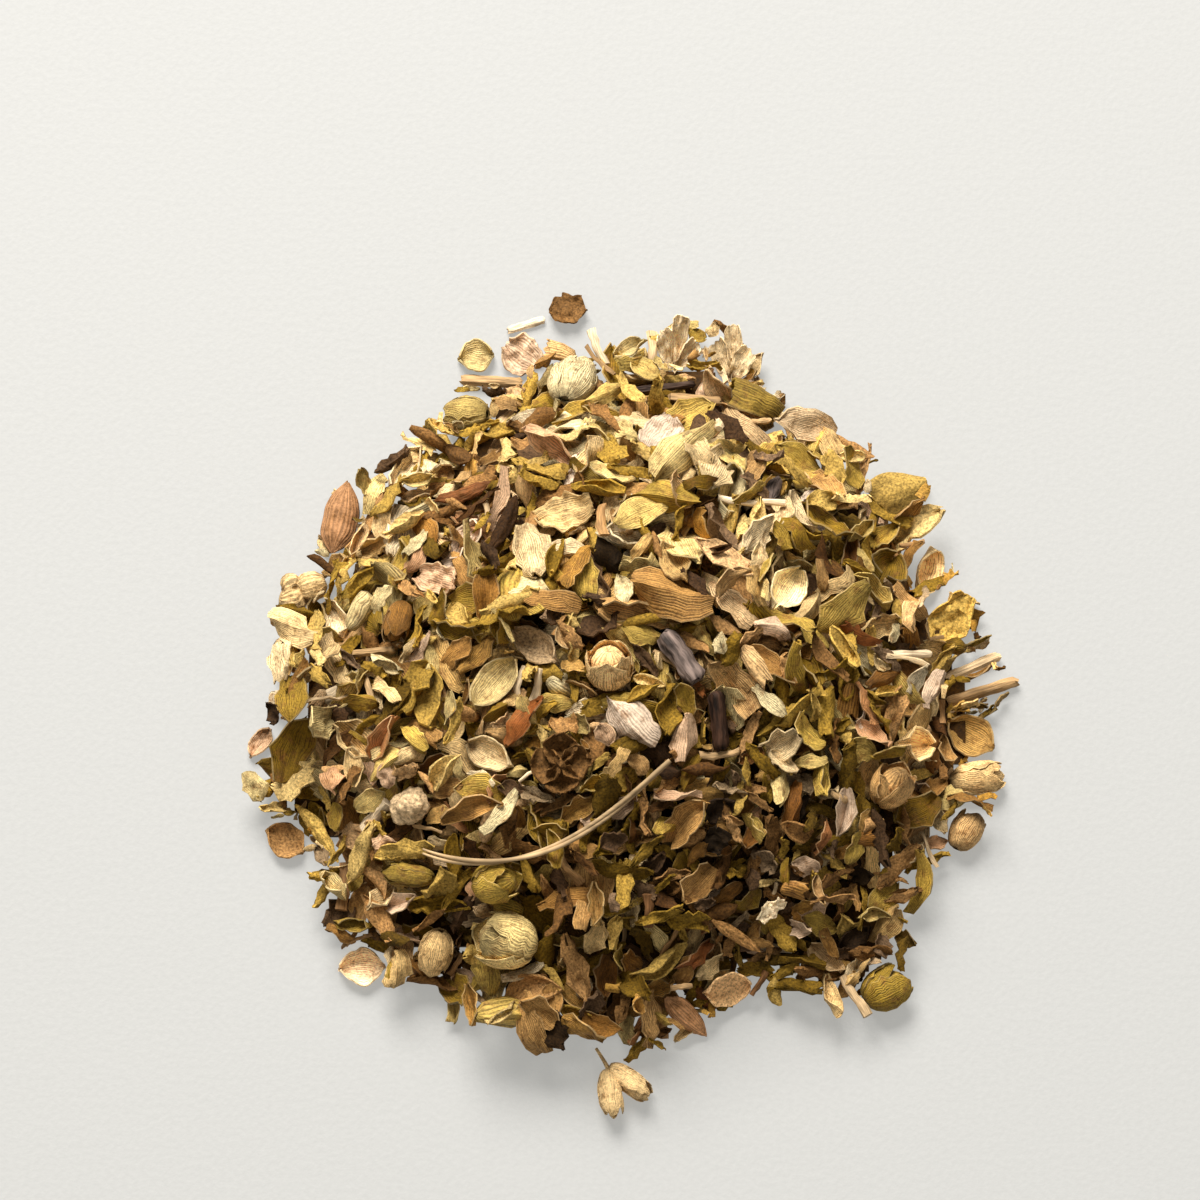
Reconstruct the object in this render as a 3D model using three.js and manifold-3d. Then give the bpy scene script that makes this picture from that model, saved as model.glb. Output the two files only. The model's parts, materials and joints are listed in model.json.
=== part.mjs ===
// A spoonful of dried oregano tipped out in a low heap: broken leaves, dried bracts,
// closed flower buds and bits of stem, with a few strays lying beside it.
// Millimetres. X runs right, Y runs away from the eye and Z is up. The heap rests on Z = 0.
import * as THREE from "three";
import { mergeVertices } from "three/addons/utils/BufferGeometryUtils.js";
import Module from "manifold-3d";

const wasm = await Module();
wasm.setup();

// Driving dimensions of the heap
const CROWN_HEIGHT = 13; // middle of the packed mass, below its standing flakes
const EDGE_RADII = [
  27.6, 26.4, 26.6, 28.1, 27.4, 28.7, 26.9, 28.4, 29.6, 31.3, 31.8, 31.7, 31, 29.7, 29.8, 29.3,
];
const FRINGE = 2.2; // how far the flakes reach past the packed mass
const SHOULDER = 2.2; // a higher power gives a flatter crown
const EDGE_STEEPNESS = 0.8; // a lower power gives a steeper edge
const LUMP_HEIGHT = 0.5;
const LUMP_LENGTH = 4.2;
const ROUGHNESS = 0.8; // how far a corner of the mass stands off its even slope
const MASS_RINGS = [0.22, 0.42, 0.6, 0.76, 0.9, 1]; // shares of the radius
const MASS_SECTORS = 22;
const FOOT_DEPTH = 2; // of the mass under the surface, before it is cut level
const SLOPE_STEP = 1.5; // over which its slope is read

// Driving dimensions of the flakes that cover it, larger than life
const SLOPE_FLAKES = 165;
const RIM_FLAKES = 40;
const TRIES = 7; // ways that a flake is tried before its site is left bare
const MOST_CROSSING = 0.25; // cubic millimetres that a flake may share with what lies there already
const FLAKE_LENGTH = [6.4, 9];
const FLAKE_WIDTH = [4, 5.6];
const FLAKE_CUP = [0.4, 1.3];
const FLAKE_THICKNESS = 0.65;
const FLAKE_SKEW = 0.25; // how far one side is wider than the other, as a share
const FLAKE_ROLL = 50; // degrees from the most rolled one way to the most rolled the other way
const FACE_DOWN_SHARE = 0.35;
const ROOT_SHARE = 0.2; // of a flake's length that lies behind its site
const ROOT_DEPTH = 1.1;
const LOWEST_ROOT = 0.5;
const SLOPE_REACH = 0.94; // outermost site on the slope, as a share of the radius
const RIM_REACH = 0.95;
const SLOPE_TILT = [12, 36]; // degrees that a flake stands off the slope
const RIM_TILT = [12, 46];
const RIM_HEADINGS = 80; // degrees either side of straight out, in all

// The eye that the places below are read with looks down at this angle
const SIGHT_ELEVATION = 75;
const GAP = 0.35; // clearance between a piece and what it lies in
const SEAT = 0.6; // underside of a lying piece above the packed mass
const TAU = Math.PI * 2;
const GOLDEN_TURN = Math.PI * (3 - Math.sqrt(5));

// Colours of the finishes
const COLOURS = {
  heap: 0x7d6c35,
  green_bract: 0xa9a257,
  straw_bract: 0xcdb377,
  tan_bract: 0xa98660,
  olive_leaf: 0x77703a,
  brown_leaf: 0x6b4a33,
  dark_leaf: 0x3d2e20,
  rosy_leaf: 0xb48768,
  green_bud: 0x9c9440,
  straw_bud: 0xd3b678,
  straw_stem: 0xc6a877,
  dark_twig: 0x463a3a,
  wool: 0xb3a488,
};

// A small seeded generator, so that every build gives the same heap
function seeded(seed) {
  let state = seed >>> 0;
  return () => {
    state = (state + 0x6d2b79f5) >>> 0;
    let t = state;
    t = Math.imul(t ^ (t >>> 15), t | 1);
    t ^= t + Math.imul(t ^ (t >>> 7), t | 61);
    return ((t ^ (t >>> 14)) >>> 0) / 4294967296;
  };
}
const random = seeded(20418);
const between = ([low, high]) => low + (high - low) * random();
const radians = THREE.MathUtils.degToRad;

// The packed mass

function edgeRadius(angle) {
  const place = (((angle / TAU) % 1) + 1) * EDGE_RADII.length;
  const before = Math.floor(place);
  const blend = THREE.MathUtils.smoothstep(place - before, 0, 1);
  const low = EDGE_RADII[before % EDGE_RADII.length];
  const high = EDGE_RADII[(before + 1) % EDGE_RADII.length];
  return THREE.MathUtils.lerp(low, high, blend);
}

function massHeight(x, y) {
  const share = Math.hypot(x, y) / (edgeRadius(Math.atan2(y, x)) - FRINGE);
  if (share >= 1) return 0;
  const dome = Math.pow(1 - Math.pow(share, SHOULDER), EDGE_STEEPNESS);
  const lump = LUMP_HEIGHT * Math.sin(x / LUMP_LENGTH + 1) * Math.cos(y / LUMP_LENGTH);
  return dome * (CROWN_HEIGHT + lump);
}

function massNormal(x, y) {
  const slopeX = massHeight(x + SLOPE_STEP, y) - massHeight(x - SLOPE_STEP, y);
  const slopeY = massHeight(x, y + SLOPE_STEP) - massHeight(x, y - SLOPE_STEP);
  return new THREE.Vector3(-slopeX, -slopeY, 2 * SLOPE_STEP).normalize();
}

// Where the line of sight through a place seen above the heap's middle is at a height
function depthSeen(up, height) {
  const elevation = radians(SIGHT_ELEVATION);
  return (up - height * Math.cos(elevation)) / Math.sin(elevation);
}

function geometryOf(points, faces) {
  const geometry = new THREE.BufferGeometry();
  geometry.setAttribute("position", new THREE.Float32BufferAttribute(points.flat(), 3));
  geometry.setIndex(faces.flat());
  geometry.computeVertexNormals();
  return geometry;
}

function massGeometry() {
  const sectors = MASS_SECTORS;
  const points = [[0, 0, massHeight(0, 0)]];
  const faces = [];
  for (const share of MASS_RINGS)
    for (let i = 0; i < sectors; i += 1) {
      const angle = ((i + (share < 1 ? 0.5 * random() : 0)) / sectors) * TAU;
      const radius = share * (edgeRadius(angle) - FRINGE);
      const x = radius * Math.cos(angle);
      const y = radius * Math.sin(angle);
      points.push([x, y, share < 1 ? massHeight(x, y) + ROUGHNESS * (random() - 0.5) : 0]);
    }
  const at = (ring, i) => 1 + ring * sectors + (i % sectors);
  const foot = points.length;
  const last = MASS_RINGS.length - 1;
  for (let i = 0; i < sectors; i += 1) {
    const [x, y] = points[at(last, i)];
    points.push([x, y, -FOOT_DEPTH]);
  }
  points.push([0, 0, -FOOT_DEPTH]);
  for (let i = 0; i < sectors; i += 1) {
    const next = (i + 1) % sectors;
    faces.push([0, at(0, i), at(0, i + 1)]);
    for (let ring = 0; ring < last; ring += 1) {
      faces.push([at(ring, i), at(ring + 1, i), at(ring + 1, i + 1)]);
      faces.push([at(ring, i), at(ring + 1, i + 1), at(ring, i + 1)]);
    }
    faces.push([at(last, i), foot + i, foot + next]);
    faces.push([at(last, i), foot + next, at(last, i + 1)]);
    faces.push([foot + i, foot + sectors, foot + next]);
  }
  return geometryOf(points, faces);
}

// Shapes of the pieces, each lying along X with its face up

// A thin blade with a pointed root and tip. widths gives the half width to each side and lift
// the height of its face, both by the share of the length; across counts the strips.
function bladeGeometry({ length, stations, across, widths, lift, thickness }) {
  const points = [];
  const faces = [];
  const rows = stations - 1;
  const columns = across + 1;
  const side = 2 + rows * columns;
  for (const half of [thickness / 2, -thickness / 2]) {
    points.push([0, 0, lift(0, 0) + half]);
    for (let k = 1; k < stations; k += 1) {
      const share = k / stations;
      const [left, right] = widths(share);
      for (let j = 0; j < columns; j += 1) {
        const turn = 1 - (2 * j) / across;
        const y = turn > 0 ? turn * left : turn * right;
        points.push([share * length, y, lift(share, turn) + half]);
      }
    }
    points.push([length, 0, lift(1, 0) + half]);
  }
  const at = (row, j) => 1 + row * columns + j;
  const tip = side - 1;
  for (let j = 0; j < across; j += 1) {
    faces.push([0, at(0, j + 1), at(0, j)]);
    for (let row = 0; row < rows - 1; row += 1) {
      faces.push([at(row, j), at(row, j + 1), at(row + 1, j)]);
      faces.push([at(row, j + 1), at(row + 1, j + 1), at(row + 1, j)]);
    }
    faces.push([at(rows - 1, j), at(rows - 1, j + 1), tip]);
  }
  const under = faces.map(([a, b, c]) => [a + side, c + side, b + side]);
  const rim = [0];
  for (let row = 0; row < rows; row += 1) rim.push(at(row, across));
  rim.push(tip);
  for (let row = rows - 1; row >= 0; row -= 1) rim.push(at(row, 0));
  rim.forEach((a, i) => {
    const b = rim[(i + 1) % rim.length];
    under.push([a, a + side, b + side], [a, b + side, b]);
  });
  return geometryOf(points, faces.concat(under));
}

// A dried bract: egg-shaped, cupped along its middle and hooked at the tip
function bract([length, width, cup]) {
  const outline = (share) => Math.pow(Math.sin(Math.PI * Math.pow(share, 0.8)), 0.75);
  return bladeGeometry({
    length,
    stations: 5,
    across: 4,
    thickness: FLAKE_THICKNESS,
    widths: (share) => [0.5 * width * outline(share), 0.5 * width * outline(share)],
    lift: (share, turn) => cup * (turn * turn + 0.8 * Math.pow(share - 0.45, 2)),
  });
}

// A broken piece of leaf: uneven on both sides and waved
function shard([length, width, wave]) {
  const left = [0.5, 0.62, 0.45, 0.55].map((half) => half + 0.16 * (random() - 0.5));
  const right = [0.34, 0.5, 0.58, 0.36].map((half) => half + 0.16 * (random() - 0.5));
  const phase = random() * TAU;
  return bladeGeometry({
    length,
    stations: 5,
    across: 4,
    thickness: FLAKE_THICKNESS,
    widths: (share) => {
      const row = Math.round(share * 5) - 1;
      return [width * left[row], width * right[row]];
    },
    lift: (share, turn) => wave * Math.sin(4.5 * share + phase) * Math.cos(1.7 * turn - 0.4),
  });
}

// The plainest blade: two stations and a fold along its middle
function smallBlade(length, half, cup, skew) {
  return bladeGeometry({
    length,
    stations: 3,
    across: 2,
    thickness: FLAKE_THICKNESS,
    widths: (share) => {
      const full = share < 0.5 ? 0.9 : 0.8;
      return [half * (full + skew), half * (full - skew)];
    },
    lift: (share, turn) => cup * (turn * turn - share * share * 0.4),
  });
}

// A leaf end with teeth cut in both edges, drooping to its sides
function toothedLeaf([length, width, droop]) {
  return bladeGeometry({
    length,
    stations: 10,
    across: 2,
    thickness: FLAKE_THICKNESS,
    widths: (share) => {
      const tooth = Math.round(share * 10) % 2 ? 1 : 0.74;
      const half = 0.5 * width * tooth * Math.pow(Math.sin(Math.PI * Math.pow(share, 0.7)), 0.6);
      return [half, half];
    },
    lift: (share, turn) => -droop * turn * turn - 0.5 * droop * share * share,
  });
}

// A closed skin round the X axis, from rings of [x, radius]. bulge scales a radius by its angle
function turnedGeometry(rings, sides, bulge, bend = () => [0, 0]) {
  const start = rings[0][0];
  const end = rings[rings.length - 1][0];
  const points = [[start, ...bend(start)]];
  const faces = [];
  const middle = rings.slice(1, -1);
  for (const [x, radius] of middle)
    for (let i = 0; i < sides; i += 1) {
      const angle = (i / sides) * TAU;
      const r = radius * bulge(angle, (x - start) / (end - start));
      const [y, z] = bend(x);
      points.push([x, y + r * Math.cos(angle), z + r * Math.sin(angle)]);
    }
  points.push([end, ...bend(end)]);
  const at = (ring, i) => 1 + ring * sides + (i % sides);
  const last = middle.length - 1;
  for (let i = 0; i < sides; i += 1) {
    faces.push([0, at(0, i + 1), at(0, i)]);
    for (let ring = 0; ring < last; ring += 1) {
      faces.push([at(ring, i), at(ring, i + 1), at(ring + 1, i + 1)]);
      faces.push([at(ring, i), at(ring + 1, i + 1), at(ring + 1, i)]);
    }
    faces.push([at(last, i), at(last, i + 1), points.length - 1]);
  }
  return geometryOf(points, faces);
}

// A closed flower bud: an egg of overlapping bracts that show as four soft ribs
function bud([length, width, depth]) {
  const rings = [0, 0.06, 0.2, 0.4, 0.6, 0.78, 0.92, 1].map((share) => [
    length * share,
    0.5 * width * Math.pow(Math.sin(Math.PI * Math.pow(share, 0.9)), 0.62) * (share < 0.5 ? 1 : 0.94),
  ]);
  const flat = depth / width;
  return turnedGeometry(rings, 10, (angle, share) => {
    const squeeze = Math.hypot(Math.cos(angle), flat * Math.sin(angle));
    return squeeze * (1 + 0.07 * share * Math.cos(4 * angle));
  });
}

// A leaf rolled up as it dried: a slim spindle with a crease along its top
function curledLeaf([length, width, depth]) {
  const rings = [0, 0.08, 0.3, 0.55, 0.8, 1].map((share) => [
    length * share,
    0.5 * width * Math.pow(Math.sin(Math.PI * Math.pow(share, 0.85)), 0.7),
  ]);
  const flat = depth / width;
  const bend = (x) => [0.14 * width * Math.sin((Math.PI * x) / length), 0];
  const bulge = (angle) => {
    const crease = 1 - 0.3 * Math.max(0, Math.sin(angle)) ** 6;
    return crease * Math.hypot(Math.cos(angle), flat * Math.sin(angle));
  };
  return turnedGeometry(rings, 8, bulge, bend);
}

// A broken length of stem: nearly square, with split ends
function stem([length, width, depth]) {
  const sides = 6;
  const points = [];
  const faces = [];
  const shares = [0, 0.5, 1];
  for (const share of shares)
    for (let i = 0; i < sides; i += 1) {
      const angle = ((i + 0.5) / sides) * TAU;
      const ragged = share === 0.5 ? 0 : (random() - 0.5) * 0.5 * width;
      const y = 0.5 * width * Math.cos(angle) + 0.15 * width * Math.sin(Math.PI * share);
      points.push([share * length + ragged, y, 0.5 * depth * Math.sin(angle)]);
    }
  for (let ring = 0; ring < 2; ring += 1)
    for (let i = 0; i < sides; i += 1) {
      const [a, b] = [ring * sides + i, ring * sides + ((i + 1) % sides)];
      faces.push([a, b, b + sides], [a, b + sides, a + sides]);
    }
  for (let i = 1; i < sides - 1; i += 1) {
    faces.push([0, i + 1, i]);
    faces.push([2 * sides, 2 * sides + i, 2 * sides + i + 1]);
  }
  return geometryOf(points, faces);
}

// The long split stalk that lies across the heap, a tube along a curve
const STALK_SEEN = [
  [-17, -13.4],
  [-13.8, -14.2],
  [-10.4, -14.1],
  [-5.6, -12.6],
  [-1.2, -9.6],
  [2.6, -6.1],
];
const STALK_WIDTH = 0.8;
const STALK_LIFT = 3.1;

function stalkCurve() {
  return new THREE.CatmullRomCurve3(
    STALK_SEEN.map(([x, up]) => {
      let y = up;
      for (let i = 0; i < 4; i += 1) y = depthSeen(up, massHeight(x, y) + STALK_LIFT);
      return new THREE.Vector3(x, y, massHeight(x, y) + STALK_LIFT);
    }),
  );
}

function tubeGeometry(curve, width, sides, steps) {
  const section = new THREE.Shape(
    Array.from({ length: sides }, (_, i) => {
      const angle = ((i + 0.5) / sides) * TAU;
      return new THREE.Vector2(0.5 * width * Math.cos(angle), 0.5 * width * Math.sin(angle));
    }),
  );
  return new THREE.ExtrudeGeometry(section, { steps, extrudePath: curve, bevelEnabled: false });
}

// Joining and cutting

function solidOf(geometry, matrix = new THREE.Matrix4()) {
  const plain = geometry.clone().applyMatrix4(matrix);
  plain.deleteAttribute("normal");
  plain.deleteAttribute("uv");
  const merged = mergeVertices(plain, 1e-4);
  return new wasm.Manifold(
    new wasm.Mesh({
      numProp: 3,
      vertProperties: merged.attributes.position.array,
      triVerts: new Uint32Array(merged.index.array),
    }),
  );
}

function geometryFrom(solid) {
  const { numProp, numVert, vertProperties, triVerts } = solid.getMesh();
  const points = new Float32Array(numVert * 3);
  for (let i = 0; i < numVert; i += 1)
    points.set(vertProperties.subarray(i * numProp, i * numProp + 3), i * 3);
  const geometry = new THREE.BufferGeometry();
  geometry.setAttribute("position", new THREE.BufferAttribute(points, 3));
  geometry.setIndex(new THREE.BufferAttribute(triVerts.slice(), 1));
  geometry.computeVertexNormals();
  return geometry;
}

// The largest body of a solid, without loose scraps and with its sealed hollows filled
function mainBody(solid) {
  return solid.decompose().reduce((best, body) => (body.volume() > best.volume() ? body : best));
}

function joined(...geometries) {
  const solids = geometries.map((geometry) => solidOf(geometry));
  return geometryFrom(solids.reduce((whole, next) => whole.add(next)));
}

function moved(geometry, [x, y, z], turn = 0) {
  return geometry.rotateZ(radians(turn)).translate(x, y, z);
}

// Two buds side by side on a short stalk
function twinBud([length, width, depth]) {
  return joined(
    moved(bud([length, width, depth]), [0, 0, 0], 24),
    moved(bud([0.9 * length, width, depth]), [0, 0, 0], -30),
    moved(stem([0.5 * length, 0.25 * width, 0.25 * width]), [-0.42 * length, -0.1 * width, 0], 6),
  );
}

// A galled flower head: round knobs grown together, each [x, y, z, radius] as shares of its length
function galls([length]) {
  const places = [
    [0.28, 0.06, 0, 0.27],
    [0.66, -0.1, 0.04, 0.3],
    [0.52, 0.24, 0.06, 0.2],
  ];
  const knobs = places.map(([x, y, z, radius]) =>
    new THREE.IcosahedronGeometry(radius * length, 1).translate(x * length, y * length, z * length),
  );
  return joined(...knobs);
}

// A scrap of felted hairs, lumpy all over
function woolScrap([length, width, depth]) {
  const ball = new THREE.IcosahedronGeometry(0.5, 2);
  ball.deleteAttribute("normal");
  ball.deleteAttribute("uv");
  const geometry = mergeVertices(ball, 1e-4);
  const places = geometry.attributes.position;
  for (let i = 0; i < places.count; i += 1) {
    const [x, y, z] = [places.getX(i), places.getY(i), places.getZ(i)];
    const lump = 0.86 + 0.14 * Math.sin(9 * x + 2) * Math.sin(10 * y + 1) + 0.1 * Math.cos(11 * z + 5 * x);
    places.setXYZ(i, x * length * lump, y * width * lump, z * depth * lump);
  }
  return geometry;
}

// An open dry calyx seen from above: four lobes round a middle
function rosette([length, width, depth]) {
  const lobes = [0, 90, 180, 270].map((turn) => {
    const lobe = smallBlade(0.6 * length, 0.36 * width, 0.45 * depth, 0);
    return moved(lobe.rotateY(radians(-20)), [0, 0, 0], turn);
  });
  return joined(new THREE.OctahedronGeometry(0.26 * length, 1), ...lobes);
}

const SHAPES = { bract, shard, toothedLeaf, bud, curledLeaf, stem, twinBud, galls, woolScrap, rosette };

// The pieces that can be told apart: shape, finish, where its middle is seen right of and above
// the heap's middle, heading, pitch and roll in degrees, and [length, width, depth or cup].
// A place with "floor" lies on the surface beside the heap.
const PIECES = {
  striped_bud: ["bud", "green_bud", [-5.2, 24.0], 75, 18, 0, [4.8, 4.0, 3.6]],
  upper_left_bud: ["bud", "green_bud", [-13.8, 21.4], 168, 8, 0, [4.0, 3.2, 3.0]],
  centre_bud: ["bud", "straw_bud", [-2.2, 1.2], 80, 55, 0, [4.2, 3.8, 3.6]],
  large_low_bud: ["bud", "green_bud", [-10.4, -20.6], 140, 30, 0, [5.2, 4.8, 4.4]],
  golden_bud: ["bud", "green_bud", [-11.2, -15.9], 20, 18, 0, [4.2, 3.5, 3.3]],
  cream_low_bud: ["bud", "straw_bud", [-16.0, -21.6], 250, 12, 0, [4.0, 2.9, 2.7]],
  right_rim_bud: ["bud", "straw_bud", [27.4, -8.0], 6, 0, 0, [4.6, 2.8, 2.6]],
  right_low_bud: ["bud", "tan_bract", [26.4, -12.2], 60, 0, 0, [3.4, 2.7, 2.6]],
  right_inner_bud: ["bud", "tan_bract", [20.2, -8.4], 100, 40, 0, [4.0, 3.7, 3.4]],
  chain_end_bud: ["bud", "green_bud", [19.8, -24.6], 30, 0, 0, [4.0, 3.6, 3.2]],
  striped_brown_bud: ["bud", "tan_bract", [-19.0, 4.6], 262, 10, 0, [3.8, 2.4, 2.3]],
  spindle_bud: ["bud", "green_bud", [-18.1, -15.4], 172, 8, 0, [4.4, 2.0, 1.9]],
  twin_bud: ["twinBud", "straw_bud", [-1.6, -32.0], 292, 0, 0, [4.1, 2.7, 2.6], "floor"],
  pale_galls: ["galls", "straw_bud", [-27.2, 7.0], 60, 0, 0, [4.6, 4.0, 3.0]],
  woolly_scrap: ["woolScrap", "wool", [-18.0, -10.0], 20, 0, 0, [3.8, 3.0, 2.6]],
  brown_rosette: ["rosette", "brown_leaf", [-6.0, -6.5], 20, 0, 0, [4.1, 2.9, 1.6]],
  dark_twig_upper: ["stem", "dark_twig", [3.4, 1.9], 305, 6, 0, [4.3, 2.0, 1.7]],
  dark_twig_lower: ["stem", "dark_twig", [6.4, -3.2], 98, 4, 0, [4.4, 1.5, 1.4]],
  rim_stick_long: ["stem", "straw_stem", [28.0, -1.1], 17, 0, 0, [5.8, 1.1, 1.0]],
  rim_stick_short: ["stem", "straw_stem", [27.2, 0.9], 24, 0, 0, [4.6, 1.0, 0.9]],
  top_left_stem: ["stem", "straw_stem", [-11.8, 24.2], 357, 0, 0, [5.0, 1.1, 1.0]],
  flat_stem_chip: ["stem", "straw_stem", [4.8, 22.6], 357, 0, 0, [4.2, 1.1, 0.7]],
  slender_dark_twig: ["stem", "dark_twig", [2.2, 23.6], 20, 0, 0, [5.4, 0.8, 0.7]],
  pale_stick_right: ["stem", "straw_stem", [21.6, 2.0], 11, 4, 0, [5.2, 0.75, 0.7]],
  left_stick: ["stem", "straw_stem", [-21.0, 2.2], 355, 0, 0, [4.2, 0.75, 0.7]],
  knobbed_twig: ["curledLeaf", "dark_twig", [11.0, 15.0], 248, 0, 0, [3.2, 1.6, 1.3]],
  white_splinter: ["stem", "straw_stem", [-9.0, 28.9], 18, 0, 0, [3.0, 0.8, 0.6], "floor"],
  rosy_left_leaf: ["curledLeaf", "rosy_leaf", [-24.0, 13.0], 76, 6, 0, [6.2, 3.1, 2.0]],
  brown_oval: ["bract", "brown_leaf", [-28.2, -13.0], 330, 0, -6, [3.7, 3.0, 0.4]],
  olive_roll: ["curledLeaf", "olive_leaf", [-25.4, -12.3], 309, 4, 0, [6.2, 1.5, 1.2]],
  tan_fan: ["bract", "tan_bract", [-21.9, -23.0], 4, 0, 0, [3.9, 3.3, 0.5]],
  green_round: ["bract", "green_bract", [-13.1, 26.3], 100, 0, 0, [3.0, 3.1, 0.4]],
  peach_flake: ["shard", "rosy_leaf", [-9.4, 26.4], 50, 4, 6, [3.4, 3.0, 0.3]],
  pale_crest_left: ["shard", "straw_bract", [3.5, 27.2], 80, 35, 20, [5.0, 3.4, 0.4]],
  pale_crest_right: ["shard", "straw_bract", [8.0, 26.4], 96, 30, -20, [5.0, 3.4, 0.4]],
  toothed_fold: ["toothedLeaf", "green_bract", [9.8, 22.6], 350, 0, 0, [4.8, 4.4, 1.3]],
  toothed_edge_leaf: ["toothedLeaf", "olive_leaf", [21.4, 15.2], 20, 4, 0, [4.8, 4.0, 0.9]],
  green_cup: ["bract", "green_bract", [20.2, 8.8], 235, 0, 16, [4.4, 3.6, 0.9]],
  tan_shell: ["bract", "straw_bract", [23.6, 8.6], 75, 6, 40, [4.4, 2.8, 0.9]],
  torn_right_leaf: ["shard", "olive_leaf", [25.6, 4.8], 55, 8, 0, [4.8, 3.0, 0.5]],
  right_fan: ["bract", "straw_bract", [26.9, -4.6], 330, 0, 0, [4.5, 3.5, 0.5]],
  striped_shell: ["bract", "straw_bract", [22.2, -5.2], 186, 6, 0, [4.2, 3.0, 1.0]],
  pink_flake: ["shard", "rosy_leaf", [2.0, 19.8], 55, 2, 0, [3.7, 2.6, 0.2]],
  orange_flake: ["shard", "rosy_leaf", [-15.9, 8.0], 160, 4, 0, [4.2, 2.2, 0.4]],
  centre_bract: ["bract", "green_bract", [-11.2, -0.2], 232, 6, 0, [5.4, 3.1, 0.7]],
  grey_leaf: ["bract", "dark_leaf", [-8.0, 2.7], 322, 2, 0, [4.9, 2.7, 0.7]],
  cream_bract: ["bract", "straw_bract", [-11.6, -5.8], 152, 0, 0, [4.4, 2.6, 0.6]],
  right_bract: ["bract", "green_bract", [11.9, 7.2], 60, 4, 0, [4.6, 3.2, 0.8]],
  dark_roll: ["curledLeaf", "brown_leaf", [-14.3, 18.0], 312, 4, 0, [5.8, 1.6, 1.3]],
  rosy_roll: ["curledLeaf", "rosy_leaf", [-13.9, 14.9], 184, 2, 0, [5.2, 1.5, 1.2]],
  plum_roll: ["curledLeaf", "brown_leaf", [-10.6, 12.2], 250, 4, 0, [5.8, 1.6, 1.3]],
  golden_flake: ["shard", "straw_bract", [-5.7, 13.2], 12, 4, 0, [5.0, 3.2, 0.5]],
  clear_chip: ["shard", "straw_bract", [10.6, -18.2], 42, 0, 0, [2.8, 1.5, 0.1]],
  brown_roll_low: ["curledLeaf", "brown_leaf", [7.8, -20.2], 325, 0, 0, [5.4, 1.1, 0.9]],
  brown_disc: ["bract", "brown_leaf", [7.2, -24.6], 10, 0, 0, [4.2, 3.4, 0.4]],
  tan_pod: ["curledLeaf", "rosy_leaf", [3.8, -26.6], 315, 0, 0, [5.4, 2.0, 1.6]],
  stray_brown_flake: ["shard", "brown_leaf", [-5.6, 30.3], 100, 0, 0, [3.0, 2.4, 0.4], "floor"],
  stray_tan_wedge: ["bract", "rosy_leaf", [-30.3, -5.2], 58, 0, 0, [3.0, 1.7, 0.2], "floor"],
};

// Turns a piece so that it lies along its heading on a face with this normal
function lie(mesh, normal, [heading, pitch, roll]) {
  const upright = new THREE.Quaternion().setFromUnitVectors(new THREE.Vector3(0, 0, 1), normal);
  const turned = new THREE.Euler(radians(roll), radians(-pitch), radians(heading), "ZYX");
  mesh.quaternion.copy(upright).multiply(new THREE.Quaternion().setFromEuler(turned));
}

// Lays a piece on the mass, or on the surface beside it, so that its middle is seen at its place
function settle(mesh, [x, up], turns, onFloor) {
  let y = up;
  for (let i = 0; i < 5; i += 1) {
    const height = onFloor ? 0 : massHeight(x, y);
    const normal = height > 0 ? massNormal(x, y) : new THREE.Vector3(0, 0, 1);
    lie(mesh, normal, turns);
    mesh.position.set(0, 0, 0);
    mesh.updateMatrixWorld(true);
    const corners = Array.from({ length: mesh.geometry.attributes.position.count }, (_, k) =>
      mesh.localToWorld(new THREE.Vector3().fromBufferAttribute(mesh.geometry.attributes.position, k)),
    );
    const under = Math.min(...corners.map((corner) => corner.dot(normal)));
    const lowest = Math.min(...corners.map((corner) => corner.z));
    const seated = height + (SEAT - under) * normal.z;
    const z = height > 0 ? Math.max(seated, -lowest) : -lowest;
    mesh.position.set(x, y, z);
    y = depthSeen(up, z);
  }
  mesh.updateMatrixWorld(true);
}

function placedPiece(name, [shape, finish, place, heading, pitch, roll, size, where]) {
  const geometry = SHAPES[shape](size);
  geometry.computeBoundingBox();
  const centre = geometry.boundingBox.getCenter(new THREE.Vector3());
  geometry.translate(-centre.x, -centre.y, -centre.z);
  const material = new THREE.MeshStandardMaterial({ color: COLOURS[finish], roughness: 0.75, metalness: 0 });
  const mesh = new THREE.Mesh(geometry, material);
  mesh.name = name;
  settle(mesh, place, [heading, pitch, roll], where === "floor");
  return mesh;
}

// The plain pocket that a piece lies in: its own box, grown by the gap
function pocketOf(mesh) {
  mesh.geometry.computeBoundingBox();
  const size = mesh.geometry.boundingBox.getSize(new THREE.Vector3()).addScalar(2 * GAP);
  return solidOf(new THREE.BoxGeometry(size.x, size.y, size.z), mesh.matrixWorld);
}

// A flake rooted in the mass at a share of its radius, standing off it by its tilt
function coveringFlake(share, angle, heading, tilt) {
  const radius = share * (edgeRadius(angle) - FRINGE);
  const x = radius * Math.cos(angle);
  const y = radius * Math.sin(angle);
  const length = between(FLAKE_LENGTH);
  const cup = between(FLAKE_CUP) * (random() < FACE_DOWN_SHARE ? -1 : 1);
  const half = 0.5 * between(FLAKE_WIDTH);
  const mesh = new THREE.Mesh(smallBlade(length, half, cup, FLAKE_SKEW * (random() - 0.5)));
  mesh.geometry.translate(-ROOT_SHARE * length, 0, 0);
  lie(mesh, massNormal(x, y), [heading, tilt, FLAKE_ROLL * (random() - 0.5)]);
  mesh.position.set(x, y, Math.max(massHeight(x, y) - ROOT_DEPTH, LOWEST_ROOT));
  mesh.updateMatrixWorld(true);
  return solidOf(mesh.geometry, mesh.matrixWorld);
}

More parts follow.
